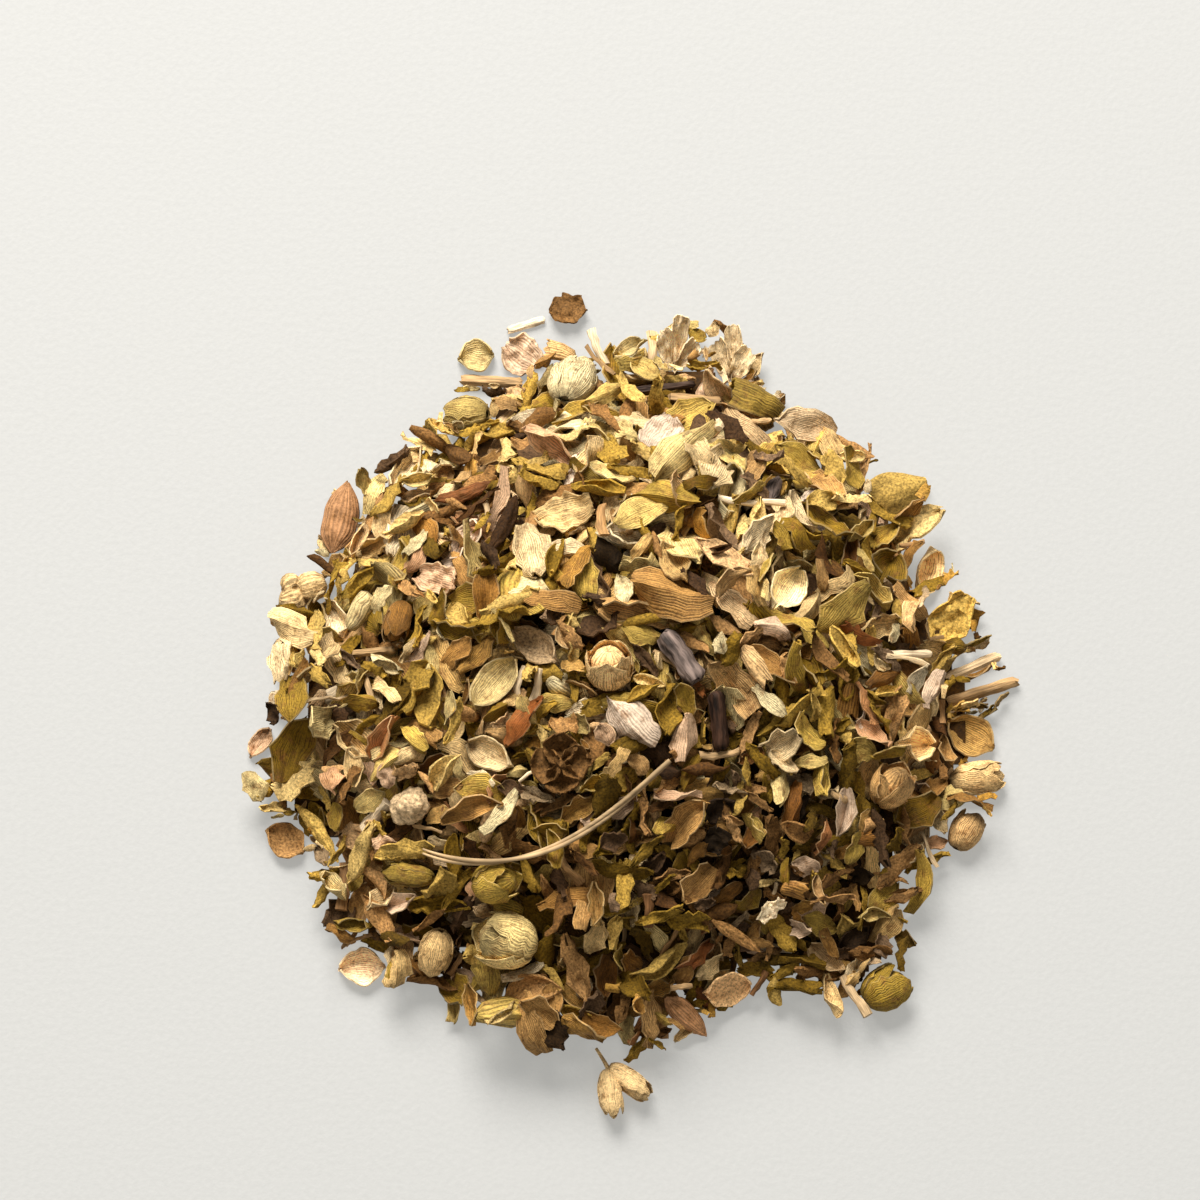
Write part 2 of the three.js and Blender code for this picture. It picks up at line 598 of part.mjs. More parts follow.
// Sites of the covering flakes, evenly spread from the crown out to the rim
function flakeSites() {
  const sites = [];
  for (let i = 0; i < SLOPE_FLAKES; i += 1) {
    const share = SLOPE_REACH * Math.sqrt((i + 0.5) / SLOPE_FLAKES);
    sites.push({ share, angle: i * GOLDEN_TURN, headings: 360, tilts: SLOPE_TILT });
  }
  for (let i = 0; i < RIM_FLAKES; i += 1) {
    const angle = (i / RIM_FLAKES) * TAU;
    sites.push({ share: RIM_REACH, angle, headings: RIM_HEADINGS, tilts: RIM_TILT });
  }
  return sites;
}

// The mass with its flakes. Each flake is turned until it barely crosses what lies there already
function heapSolid(pockets) {
  const core = solidOf(massGeometry());
  let taken = pockets;
  let whole = core;
  for (const { share, angle, headings, tilts } of flakeSites())
    for (let tried = 0; tried < TRIES; tried += 1) {
      const heading = THREE.MathUtils.radToDeg(angle) + headings * (random() - 0.5);
      const flake = coveringFlake(share, angle, heading, between(tilts));
      const shown = flake.subtract(core);
      if (shown.intersect(taken).volume() > MOST_CROSSING) continue;
      taken = taken.add(shown);
      whole = whole.add(flake);
      break;
    }
  return whole;
}

function floorBlock() {
  const size = 200;
  const below = new THREE.Matrix4().makeTranslation(0, 0, -size / 2);
  return solidOf(new THREE.BoxGeometry(size, size, size), below);
}

// The whole heap, with its middle over the origin

const heap = new THREE.Group();
const stalk = new THREE.Mesh(
  tubeGeometry(stalkCurve(), STALK_WIDTH, 6, 14),
  new THREE.MeshStandardMaterial({ color: COLOURS.straw_stem, roughness: 0.6, metalness: 0 }),
);
stalk.name = "curved_stalk";
const pieces = Object.entries(PIECES).map(([name, spec]) => placedPiece(name, spec));

const stalkPocket = solidOf(tubeGeometry(stalkCurve(), STALK_WIDTH + 4 * GAP, 4, 6));
const pockets = pieces.map(pocketOf).reduce((whole, pocket) => whole.add(pocket), stalkPocket);
const mass = heapSolid(pockets).subtract(pockets).subtract(floorBlock());
const flakeHeap = new THREE.Mesh(
  geometryFrom(mainBody(mass)),
  new THREE.MeshStandardMaterial({ color: COLOURS.heap, roughness: 0.85, metalness: 0 }),
);
flakeHeap.name = "flake_heap";
heap.add(flakeHeap, stalk, ...pieces);

const bounds = new THREE.Box3().setFromObject(heap, true);
const middle = bounds.getCenter(new THREE.Vector3());
heap.position.set(-middle.x, -middle.y, 0);

const part = new THREE.Group();
part.add(heap);
export default part;
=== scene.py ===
"""A low round heap of dried, rubbed oregano, dressed around its solids.

The pieces that can be told apart stand where their solids stand. The mass of the heap is laid flake
by flake: each flake drops on what lies there already. Lengths in the plans below are in
millimetres and angles in degrees; meshes are in metres.
"""

import json
import logging
import math
from dataclasses import dataclass, field, replace
from enum import Enum

import bpy
import numpy as np
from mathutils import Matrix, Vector
from mathutils.bvhtree import BVHTree


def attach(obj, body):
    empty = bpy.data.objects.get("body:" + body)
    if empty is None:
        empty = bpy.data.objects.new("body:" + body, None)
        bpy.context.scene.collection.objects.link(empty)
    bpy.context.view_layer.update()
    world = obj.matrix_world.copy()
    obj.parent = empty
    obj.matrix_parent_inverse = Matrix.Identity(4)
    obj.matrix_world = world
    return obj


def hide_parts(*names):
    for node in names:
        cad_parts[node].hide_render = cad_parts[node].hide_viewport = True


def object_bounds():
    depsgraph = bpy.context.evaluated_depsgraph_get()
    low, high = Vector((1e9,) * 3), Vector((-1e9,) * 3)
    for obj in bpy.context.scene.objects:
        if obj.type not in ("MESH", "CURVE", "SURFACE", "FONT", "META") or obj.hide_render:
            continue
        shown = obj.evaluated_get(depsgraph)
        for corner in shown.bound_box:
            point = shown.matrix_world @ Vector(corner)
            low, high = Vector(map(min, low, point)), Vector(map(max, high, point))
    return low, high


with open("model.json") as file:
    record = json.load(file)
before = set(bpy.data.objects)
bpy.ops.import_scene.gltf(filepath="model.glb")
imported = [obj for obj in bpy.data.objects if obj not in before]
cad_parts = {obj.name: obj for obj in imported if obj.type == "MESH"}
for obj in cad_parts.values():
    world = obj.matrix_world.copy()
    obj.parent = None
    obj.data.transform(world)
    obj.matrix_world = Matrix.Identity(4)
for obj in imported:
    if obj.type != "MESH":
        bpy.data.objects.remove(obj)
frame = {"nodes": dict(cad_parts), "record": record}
CAD_BOX = np.array(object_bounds())
LOG = logging.getLogger("oregano")
MM = 0.001
SEED = 5150
SKIN = "Skin"  # the map that follows a piece, root to tip and side to side
SHEET = "OFBake"  # the flat map of a group, on which no two faces lie on each other
Tree = bpy.types.NodeTree
Socket = bpy.types.NodeSocket
Piece = bpy.types.Object
Outline = tuple[float, ...]
SCALE = {"operation": "SCALE"}
MULTIPLY_ADD = {"operation": "MULTIPLY_ADD"}
MIX_COLOURS = {"data_type": "RGBA"}


# Colour and nodes


def linear(colour: str) -> tuple[float, float, float, float]:
    """Turns an sRGB hex colour into a linear one.

    Args:
        colour: Six hex digits after a hash.

    Returns:
        Red, green, blue and an alpha of 1.
    """
    parts = [int(colour[k : k + 2], 16) / 255 for k in (1, 3, 5)]
    return (*(c / 12.92 if c <= 0.04045 else ((c + 0.055) / 1.055) ** 2.4 for c in parts), 1.0)


def add(tree: Tree, kind: str, settings: dict | None = None, links: dict | None = None) -> bpy.types.Node:
    """Adds one shader node with its settings and links.

    Args:
        tree: The material's nodes.
        kind: The node's type, without its ShaderNode prefix.
        settings: Properties of the node by name.
        links: A value or a socket for each input, by its name or number.

    Returns:
        The new node.
    """
    made = tree.nodes.new("ShaderNode" + kind)
    for name, value in (settings or {}).items():
        setattr(made, name, value)
    for name, value in (links or {}).items():
        if isinstance(value, Socket):
            tree.links.new(value, made.inputs[name])
        else:
            made.inputs[name].default_value = value
    return made


@dataclass(frozen=True)
class Finish:
    """A dried plant surface. Each piece takes its own shade by its tint, from dark to pale.

    Attributes:
        name: What the surface is.
        shades: Hex colours from the darkest piece to the palest.
        roughness: Of the shader.
        depth: Height of the relief in millimetres.
    """

    name: str
    shades: tuple[str, ...]
    roughness: float = 0.7
    depth: float = 0.09

    def material(self) -> bpy.types.Material:
        """Makes the material.

        Returns:
            The material, with one principled shader.
        """
        made = bpy.data.materials.new(self.name)
        made.use_nodes = True
        tree = made.node_tree
        tree.nodes.clear()
        place = add(tree, "TexCoord").outputs["Object"]
        skin = add(tree, "UVMap", {"uv_map": SKIN}).outputs["UV"]
        tint = add(tree, "Attribute", {"attribute_name": "tint"}).outputs["Fac"]
        shade = add(tree, "Attribute", {"attribute_name": "shade"}).outputs["Fac"]
        ramp = add(tree, "ValToRGB", links={"Fac": tint})
        stops = ramp.color_ramp.elements
        while len(stops) < len(self.shades):
            stops.new(0.5)
        for k, colour in enumerate(self.shades):
            stops[k].position = k / (len(self.shades) - 1)
            stops[k].color = linear(colour)
        colour, relief = self.pattern(tree, ramp.outputs["Color"], place, skin)
        # Dust and uneven drying cloud each piece over about 1.5 mm. Inputs 1 to 4 of a MapRange are
        # the span that a value comes in and the span that it leaves in
        cloud = add(tree, "TexNoise", links={"Vector": place, "Scale": 0.7 / MM, "Detail": 2.0})
        clouded = add(tree, "MapRange", links={0: cloud.outputs["Fac"], 1: 0.3, 2: 0.7, 3: 0.95, 4: 1.32})
        both = add(tree, "Math", {"operation": "MULTIPLY"}, {0: clouded.outputs[0], 1: shade})
        lit = add(tree, "VectorMath", SCALE, {0: colour, "Scale": both.outputs[0]})
        bump = add(tree, "Bump", links={"Height": relief, "Distance": self.depth * MM, "Strength": 1.0})
        shader = add(
            tree,
            "BsdfPrincipled",
            links={
                "Base Color": lit.outputs[0],
                "Normal": bump.outputs["Normal"],
                "Roughness": self.roughness,
                "Specular IOR Level": 0.16,
            },
        )
        add(tree, "OutputMaterial", links={"Surface": shader.outputs["BSDF"]})
        return made

    def pattern(self, tree: Tree, colour: Socket, place: Socket, skin: Socket) -> tuple[Socket, Socket]:
        """Draws what marks the surface. Each kind of surface has its own.

        Args:
            tree: The material's nodes.
            colour: Socket of the piece's own shade.
            place: Socket of the place in metres.
            skin: Socket of the place on the piece.

        Returns:
            The sockets of the colour and of the relief.
        """
        raise NotImplementedError


@dataclass(frozen=True)
class FannedSkin(Finish):
    """Papery bract or bud scale: veins fan from its root and meet at its tip, and its rim is pale.

    Attributes:
        veins: How many veins lie side by side across the piece, about 0.25 mm apart.
        rim: Hex colour of the thin dry rim.
        bruise: Hex colour of the browned patches.
        contrast: How far the furrows between veins are darker.
    """

    veins: float = 19.0
    rim: str = "#e0c898"
    bruise: str = "#7a5228"
    contrast: float = 0.58

    def pattern(self, tree: Tree, colour: Socket, place: Socket, skin: Socket) -> tuple[Socket, Socket]:
        """Draws the veins and the rim.

        Args:
            tree: The material's nodes.
            colour: Socket of the piece's own shade.
            place: Socket of the place in metres.
            skin: Socket of the place on the piece, root to tip and side to side.

        Returns:
            The sockets of the colour and of the relief.
        """
        parts = add(tree, "SeparateXYZ", links={0: skin})
        # A wave of scale 0.314 has one band across the piece
        bands = {"Vector": skin, "Scale": 0.314 * self.veins, "Distortion": 1.1, "Detail": 2.0}
        wave = add(tree, "TexWave", {"bands_direction": "Y"}, {**bands, "Detail Scale": 1.5})
        drawn = add(tree, "Mapping", links={"Vector": skin, "Scale": (2.6, 2.2 * self.veins, 1.0)})
        # Each piece's own tint carries it to another part of the noise
        tint = add(tree, "Attribute", {"attribute_name": "tint"}).outputs["Fac"]
        away = add(tree, "VectorMath", SCALE, {0: (31.0, 17.0, 5.0), "Scale": tint})
        own = add(tree, "VectorMath", {"operation": "ADD"}, {0: drawn.outputs[0], 1: away.outputs[0]})
        streak = add(tree, "TexNoise", links={"Vector": own.outputs[0], "Scale": 1.0, "Detail": 3.0})
        half = add(tree, "Math", {"operation": "MULTIPLY"}, {0: wave.outputs["Fac"], 1: 0.24})
        # Fine hairs and dust, about 0.18 mm apart
        fuzz = add(
            tree, "TexNoise", links={"Vector": place, "Scale": 5.5 / MM, "Detail": 3.0, "Roughness": 0.75}
        )
        fuzzed = add(
            tree, "Math", MULTIPLY_ADD, {0: fuzz.outputs["Fac"], 1: 0.85, 2: half.outputs[0]}
        )
        relief = add(
            tree, "Math", MULTIPLY_ADD, {0: streak.outputs["Fac"], 1: 1.0, 2: fuzzed.outputs[0]}
        )
        low, high = 1 - self.contrast, 1 + 0.6 * self.contrast
        veined = add(tree, "MapRange", links={0: relief.outputs[0], 1: 0.85, 2: 1.25, 3: low, 4: high})
        # Brown patches where the tissue is bruised, about 0.8 mm across
        bruise = add(
            tree, "TexNoise", links={"Vector": place, "Scale": 1.1 / MM, "Detail": 4.0, "Roughness": 0.65}
        )
        bruised = add(tree, "MapRange", links={0: bruise.outputs["Fac"], 1: 0.5, 2: 0.72, 3: 0.0, 4: 0.85})
        browned = add(
            tree, "Mix", MIX_COLOURS, {0: bruised.outputs[0], 6: colour, 7: linear(self.bruise)}
        )
        lined = add(
            tree, "VectorMath", SCALE, {0: browned.outputs[2], "Scale": veined.outputs[0]}
        )
        off = add(tree, "Math", {"operation": "SUBTRACT"}, {0: parts.outputs[1], 1: 0.5})
        out = add(tree, "Math", {"operation": "ABSOLUTE"}, {0: off.outputs[0]})
        edge = add(tree, "MapRange", links={0: out.outputs[0], 1: 0.46, 2: 0.5, 3: 0.0, 4: 0.2})
        rimmed = add(
            tree, "Mix", MIX_COLOURS, {0: edge.outputs[0], 6: lined.outputs[0], 7: linear(self.rim)}
        )
        root = add(tree, "MapRange", links={0: parts.outputs[0], 1: 0.0, 2: 0.35, 3: 0.7, 4: 1.0})
        rooted = add(
            tree, "VectorMath", SCALE, {0: rimmed.outputs[2], "Scale": root.outputs[0]}
        )
        return rooted.outputs[0], relief.outputs[0]


@dataclass(frozen=True)
class SpeckledSkin(Finish):
    """Dried leaf or felt: puckered, with pale hairs and dark glands as fine specks.

    Attributes:
        grain: Size of the specks in millimetres.
        contrast: How far the specks stand off the shade.
    """

    grain: float = 0.2
    contrast: float = 0.6

    def pattern(self, tree: Tree, colour: Socket, place: Socket, skin: Socket) -> tuple[Socket, Socket]:
        """Draws the specks and the side veins.

        Args:
            tree: The material's nodes.
            colour: Socket of the piece's own shade.
            place: Socket of the place in metres.
            skin: Socket of the place on the piece, root to tip and side to side.

        Returns:
            The sockets of the colour and of the relief.
        """
        fine = 1 / (self.grain * MM)
        grain = add(
            tree, "TexNoise", links={"Vector": place, "Scale": fine, "Detail": 4.0, "Roughness": 0.7}
        )
        parts = add(tree, "SeparateXYZ", links={0: skin})
        off = add(tree, "Math", {"operation": "SUBTRACT"}, {0: parts.outputs[1], 1: 0.5})
        out = add(tree, "Math", {"operation": "ABSOLUTE"}, {0: off.outputs[0]})
        slant = add(tree, "Math", MULTIPLY_ADD, {0: out.outputs[0], 1: -1.1, 2: parts.outputs[0]})
        row = add(tree, "Math", {"operation": "MULTIPLY"}, {0: slant.outputs[0], 1: 38.0})
        vein = add(tree, "Math", {"operation": "SINE"}, {0: row.outputs[0]})
        relief = add(tree, "Math", MULTIPLY_ADD, {0: vein.outputs[0], 1: 0.03, 2: grain.outputs["Fac"]})
        low, high = 1 - self.contrast, 1 + self.contrast
        specks = add(tree, "MapRange", links={0: relief.outputs[0], 1: 0.34, 2: 0.68, 3: low, 4: high})
        speckled = add(tree, "VectorMath", SCALE, {0: colour, "Scale": specks.outputs[0]})
        return speckled.outputs[0], relief.outputs[0]


@dataclass(frozen=True)
class FibrousSkin(Finish):
    """Split stem: long fibres run from end to end, and the grooves between them are darker.

    Attributes:
        fibres: How many fibres lie side by side round the stem.
        contrast: How much darker the grooves are.
    """

    fibres: float = 16.0
    contrast: float = 0.5

    def pattern(self, tree: Tree, colour: Socket, place: Socket, skin: Socket) -> tuple[Socket, Socket]:
        """Draws the fibres.

        Args:
            tree: The material's nodes.
            colour: Socket of the piece's own shade.
            place: Socket of the place in metres. Not used.
            skin: Socket of the place on the piece, end to end and round it.

        Returns:
            The sockets of the colour and of the relief.
        """
        drawn = add(tree, "Mapping", links={"Vector": skin, "Scale": (2.0, self.fibres, 1.0)})
        fibre = add(tree, "TexNoise", links={"Vector": drawn.outputs[0], "Scale": 1.0, "Detail": 3.0})
        low, high = 1 - self.contrast, 1 + 0.4 * self.contrast
        # The grooves of the relief are darker
        groove_tone = add(tree, "MapRange", links={0: fibre.outputs["Fac"], 1: 0.34, 2: 0.64, 3: low, 4: high})
        lined = add(tree, "VectorMath", SCALE, {0: colour, "Scale": groove_tone.outputs[0]})
        return lined.outputs[0], fibre.outputs["Fac"]


FINISHES = {
    # Leaf rubbed to crumbs: matt and mealy. Its darkest shades are painted shade, for the crumbs that lie
    # deep in the heap
    "heap": SpeckledSkin(
        "crumbled leaf", ("#331e04", "#5a3b0c", "#8a6421", "#ad8740", "#ceac6d", "#d9be8b"), grain=0.3
    ),
    # Bracts dried with their green left in: papery, with close fanned veins and a pale rim
    "green_bract": FannedSkin(
        "yellow green bract", ("#6a4f0d", "#907121", "#b39544", "#ceb577", "#d7c79b"), 0.6
    ),
    # The same bracts bleached by age: the palest flakes, whose veins show most
    "straw_bract": FannedSkin("straw bract", ("#a87b35", "#c89d57", "#dbba80", "#dcc293", "#e3d0ac"), 0.6),
    # The same bracts browned: warmer and duller
    "tan_bract": FannedSkin("tan bract", ("#6a4215", "#90652b", "#b2874d", "#cba570", "#d2b893"), 0.6),
    # Leaf blade: the mattest green, mealy with hairs and glands
    "olive_leaf": SpeckledSkin("olive leaf", ("#483509", "#6e5414", "#90722b", "#af914d", "#caae74"), 0.85),
    # Leaf blade that browned as it dried: the middle tone between the pale flakes
    "brown_leaf": SpeckledSkin("brown leaf", ("#3e250b", "#5d3f1c", "#805c32", "#9c7648", "#b7966c"), 0.8),
    # Leaf blade that blackened: the darkest flakes
    "dark_leaf": SpeckledSkin("blackened leaf", ("#221606", "#382513", "#4f3a25", "#6c563f", "#8a7557"), 0.8),
    # Sepals with some of their pink left: smoother than a bract, with fewer and softer veins
    "rosy_leaf": FannedSkin(
        "rosy sepal", ("#8f5326", "#b48052", "#d1a983", "#d8b99a", "#e7d3bc"), 0.6, 0.08, 14.0, contrast=0.42
    ),
    # Scales of a closed bud: a little glossier than loose bracts, with deeper ribs
    "green_bud": FannedSkin(
        "olive bud scale", ("#6c520f", "#90731f", "#b19445", "#ceb578", "#d8c79b"), 0.55, 0.1, 18.0
    ),
    # The same scales bleached to straw
    "straw_bud": FannedSkin(
        "straw bud scale", ("#a67932", "#c69b54", "#dbb982", "#ddc596", "#e3d1ac"), 0.55, 0.1, 18.0
    ),
    # Split stem: long pale fibres, darker between them
    "straw_stem": FibrousSkin(
        "split straw stem", ("#7a5635", "#9c774b", "#b6966b", "#cab18b", "#dcc8a7"), 0.6
    ),
    # Woody twig: grey brown, with deep dark grooves
    "dark_twig": FibrousSkin(
        "dark twig", ("#221106", "#3a271c", "#5b4c44", "#7d706a", "#a29891"), 0.7, 0.2, 11.0, 0.85
    ),
    # Hairs felted together: pale, with no gloss at all
    "wool": SpeckledSkin(
        "felted hair", ("#947450", "#ab8e6b", "#c3a882", "#d6c0a2", "#e6d4b7"), 0.95, 0.12, 0.34
    ),
}


# Modelling by hand


def fresh() -> None:
    """Leaves edit mode with nothing selected."""
    if bpy.context.mode != "OBJECT":
        bpy.ops.object.mode_set(mode="OBJECT")
    bpy.ops.object.select_all(action="DESELECT")


def pick(piece: Piece, chosen: np.ndarray) -> None:
    """Enters edit mode with just these vertices selected.

    Args:
        piece: The active mesh object.
        chosen: One truth value for each vertex.
    """
    bpy.ops.object.mode_set(mode="OBJECT")
    mesh = piece.data
    mesh.polygons.foreach_set("select", np.zeros(len(mesh.polygons), bool))
    mesh.edges.foreach_set("select", np.zeros(len(mesh.edges), bool))
    mesh.vertices.foreach_set("select", chosen)
    bpy.ops.object.mode_set(mode="EDIT")
    bpy.ops.mesh.select_mode(type="VERT")


def modify(piece: Piece, kind: str, **settings) -> None:
    """Adds a modifier with its settings and applies it.

    Args:
        piece: The active mesh object.
        kind: The modifier's type.
        **settings: Its properties by name.
    """
    if bpy.context.mode != "OBJECT":
        bpy.ops.object.mode_set(mode="OBJECT")
    made = piece.modifiers.new(kind, kind)
    for name, value in settings.items():
        setattr(made, name, value)
    bpy.ops.object.modifier_apply(modifier=made.name)


def turned(piece: Piece, turn: tuple[float, float, float]) -> None:
    """Turns a piece about the origin and keeps the turn in its mesh."""
    piece.rotation_euler = turn
    bpy.ops.object.transform_apply(location=False, rotation=True, scale=False)


def bend(piece: Piece, degrees: float, across: bool) -> None:
    """Bends a sheet that lies along X, so that its ends or its sides rise.

    Args:
        piece: The active mesh object.
        degrees: How far its ends turn towards each other in all.
        across: Bends side to side and not end to end.
    """
    if abs(degrees) < 1:
        return
    turn = Vector((math.pi / 2, 0, 0)) if across else Vector((0, -math.pi / 2, 0))
    turned(piece, turn)
    angle = math.radians(degrees) * (-1 if across else 1)
    modify(piece, "SIMPLE_DEFORM", deform_method="BEND", deform_axis="X" if across else "Y", angle=-angle)
    turned(piece, -turn)


def pucker(piece: Piece, height: float, size: float, seed: int, creased: bool = False) -> None:
    """Puckers a surface as drying does.

    Args:
        piece: The active mesh object, at the origin.
        height: From trough to crest, in millimetres.
        size: Width of a pucker in millimetres.
        seed: Another seed gives other puckers.
        creased: The puckers are sharp folds.
    """
    cloud = bpy.data.textures.new("pucker", "CLOUDS")
    cloud.noise_scale = size * MM
    cloud.noise_type = "HARD_NOISE" if creased else "SOFT_NOISE"
    piece.location = (0.05 * (seed % 97), 0.03 * (seed % 89), 0)
    bpy.context.view_layer.update()
    settings = {"texture": cloud, "texture_coords": "GLOBAL", "direction": "Z"}
    modify(piece, "DISPLACE", **settings, strength=height * MM, mid_level=0.5)
    piece.location = (0, 0, 0)


def joined(parts: list[Piece], name: str) -> Piece:
    """Joins parts in the first of them.

    Args:
        parts: Mesh objects.
        name: The joined object's name.

    Returns:
        The joined object.
    """
    fresh()
    for part in parts:
        part.select_set(True)
    bpy.context.view_layer.objects.active = parts[0]
    bpy.ops.object.join()
    parts[0].name = name
    return parts[0]


def points_of(piece: Piece) -> np.ndarray:
    """The places of a mesh's vertices, one row each."""
    flat = np.empty(3 * len(piece.data.vertices))
    piece.data.vertices.foreach_get("co", flat)
    return flat.reshape(-1, 3)


def set_points(piece: Piece, points: np.ndarray) -> None:
    """Puts a mesh's vertices at these places."""
    piece.data.vertices.foreach_set("co", np.asarray(points, np.float32).ravel())
    piece.data.update()


def wrap_skin(piece: Piece) -> None:
    """Lays the skin map round a closed piece: end to end, and round it.

    Args:
        piece: The mesh object, along X.
    """
    points = points_of(piece)
    low, high = points.min(0), points.max(0)
    middle = (low + high) / 2
    along = (points[:, 0] - low[0]) / (high[0] - low[0])
    round_it = np.arctan2(points[:, 2] - middle[2], points[:, 1] - middle[1]) / math.tau
    layers = piece.data.uv_layers
    layer = layers.get(SKIN) or layers.new(name=SKIN)
    for face in piece.data.polygons:
        first = round_it[piece.data.loops[face.loop_start].vertex_index]
        for k in face.loop_indices:
            corner = piece.data.loops[k].vertex_index
            turn = round_it[corner] - round(round_it[corner] - first)
            layer.data[k].uv = (along[corner], turn + 0.5)


@dataclass(frozen=True)
class SheetPlan:
    """A thin leaf-like sheet, modelled flat along X and then cupped, bent, rolled and puckered.

    Attributes:
        length: Root to tip.
        width: Across its widest place.
        left: Half widths at even stations from root to tip, as shares of half the width.
        right: The same on the other side.
        cup: How far its sides rise.
        keel: 0 for a round hollow, 1 for a sharp fold along its middle.
        flute: Height of the ribs that run from root to tip.
        arch: Degrees of its bend from root to tip.
        roll: Degrees that it is rolled up across.
        twist: Degrees from root to tip.
        taper: How far its ends are drawn in to its axis, for a roll.
        torn: How far its rim is ragged.
        teeth: How far every other corner of its tip is drawn out.
        pucker: Height of its puckers.
        crease: Height of its sharp small folds.
        wall: Its thickness.
        columns: Strips across, an even number.
        smooth: Levels of subdivision.
        seed: For the rim and the puckers.
    """

    length: float
    width: float
    left: Outline
    right: Outline
    cup: float = 0.6
    keel: float = 0.0
    flute: float = 0.0
    arch: float = 20.0
    roll: float = 0.0
    twist: float = 0.0
    taper: float = 0.0
    torn: float = 0.0
    teeth: float = 0.0
    pucker: float = 0.12
    crease: float = 0.0
    wall: float = 0.12
    columns: int = 6
    smooth: int = 0
    seed: int = 0

    def faces(self) -> int:
        """Faces on one side of the finished sheet."""
        return (len(self.left) - 1) * self.columns * 4**self.smooth

    def model(self, name: str) -> Piece:
        """Models the sheet.

        Args:
            name: The object's name.

        Returns:
            The object, with its middle near the origin and its face up.
        """
        rows = len(self.left) - 1
        fresh()
        bpy.ops.mesh.primitive_grid_add(
            x_subdivisions=rows, y_subdivisions=self.columns, size=1, calc_uvs=True
        )
        sheet = bpy.context.object
        sheet.name = name
        sheet.data.uv_layers[0].name = SKIN
        flat = points_of(sheet)
        station = np.rint((flat[:, 0] + 0.5) * rows).astype(int)
        strip = np.rint(flat[:, 1] * self.columns).astype(int)
        self._cut(sheet, station, strip)
        self._raise_sides(sheet, strip)
        if self.teeth:
            pick(sheet, (station == rows) & (strip % 2 == 0))
            bpy.ops.transform.translate(value=(self.teeth * MM, 0, 0))
        if self.torn:
            rim = (station == 0) | (station == rows) | (abs(strip) == self.columns // 2)
            pick(sheet, rim)
            bpy.ops.transform.vertex_random(offset=self.torn * MM, uniform=0.2, seed=self.seed)
        bpy.ops.object.mode_set(mode="OBJECT")
        bend(sheet, self.roll, True)
        if self.taper:
            self._draw_in(sheet, station)
        if self.smooth:
            levels = {"levels": self.smooth, "render_levels": self.smooth}
            modify(sheet, "SUBSURF", **levels, boundary_smooth="PRESERVE_CORNERS")
        bend(sheet, self.arch, False)
        twist = math.radians(self.twist + 0.01)
        modify(sheet, "SIMPLE_DEFORM", deform_method="TWIST", deform_axis="X", angle=twist)
        pucker(sheet, self.pucker, 0.3 * self.width, self.seed)
        if self.crease:
            pucker(sheet, self.crease, 1.1, self.seed + 31, True)
        modify(sheet, "SOLIDIFY", thickness=self.wall * MM, offset=0.0)
        return sheet

    def _cut(self, sheet: Piece, station: np.ndarray, strip: np.ndarray) -> None:
        """Gives the grid its outline, station by station and side by side.

        Args:
            sheet: The grid.
            station: Each vertex's row from root to tip.
            strip: Each vertex's place across, 0 in the middle.
        """
        bpy.ops.object.mode_set(mode="EDIT")
        bpy.ops.mesh.select_all(action="SELECT")
        bpy.ops.transform.resize(value=(self.length * MM, self.width * MM, 1), center_override=(0, 0, 0))
        for k, (left, right) in enumerate(zip(self.left, self.right)):
            for side, share in ((strip > 0, left), (strip < 0, right)):
                pick(sheet, (station == k) & side)
                bpy.ops.transform.resize(value=(1, share, 1), center_override=(0, 0, 0))

    def _draw_in(self, sheet: Piece, station: np.ndarray) -> None:
        """Draws the ends of a roll in to its axis.

        Args:
            sheet: The rolled sheet.
            station: Each vertex's row from root to tip.
        """
        points = points_of(sheet)
        axis = (points.min(0) + points.max(0)) / 2
        for k, share in enumerate(self.left):
            pick(sheet, station == k)
            size = 1 - self.taper * (1 - share)
            bpy.ops.transform.resize(value=(1, size, size), center_override=(0, 0, axis[2]))
        bpy.ops.object.mode_set(mode="OBJECT")

    def _raise_sides(self, sheet: Piece, strip: np.ndarray) -> None:
        """Lifts the strips beside the middle by the cup, the keel and the flutes.

        Args:
            sheet: The grid, cut to its outline.
            strip: Each vertex's place across, 0 in the middle.
        """
        half = self.columns // 2
        for k in range(half + 1):
            share = k / half
            rise = self.cup * (self.keel * share + (1 - self.keel) * share**2) + self.flute * (k % 2)
            pick(sheet, abs(strip) == k)
            bpy.ops.transform.translate(value=(0, 0, rise * MM))


def leaf_outline(full: float, root: float, tip: float, rows: int, point: float = 0.7) -> Outline:
    """Half widths of an egg-shaped sheet.

    Args:
        full: Where it is widest, as a share of its length.
        root: Half width at its root, as a share.
        tip: Half width at its tip, as a share.
        rows: How many rows of faces it has.
        point: 0.5 for a round tip, 1 for a pointed one.

    Returns:
        One share for each station from root to tip.
    """
    widths = []
    for k in range(rows + 1):
        share = k / rows
        if share < full:
            widths.append(root + (1 - root) * math.sin(0.5 * math.pi * share / full) ** 0.8)
        else:
            fall = (share - full) / (1 - full)
            widths.append(tip + (1 - tip) * max(0.0, 1 - fall**2) ** point)
    return tuple(widths)


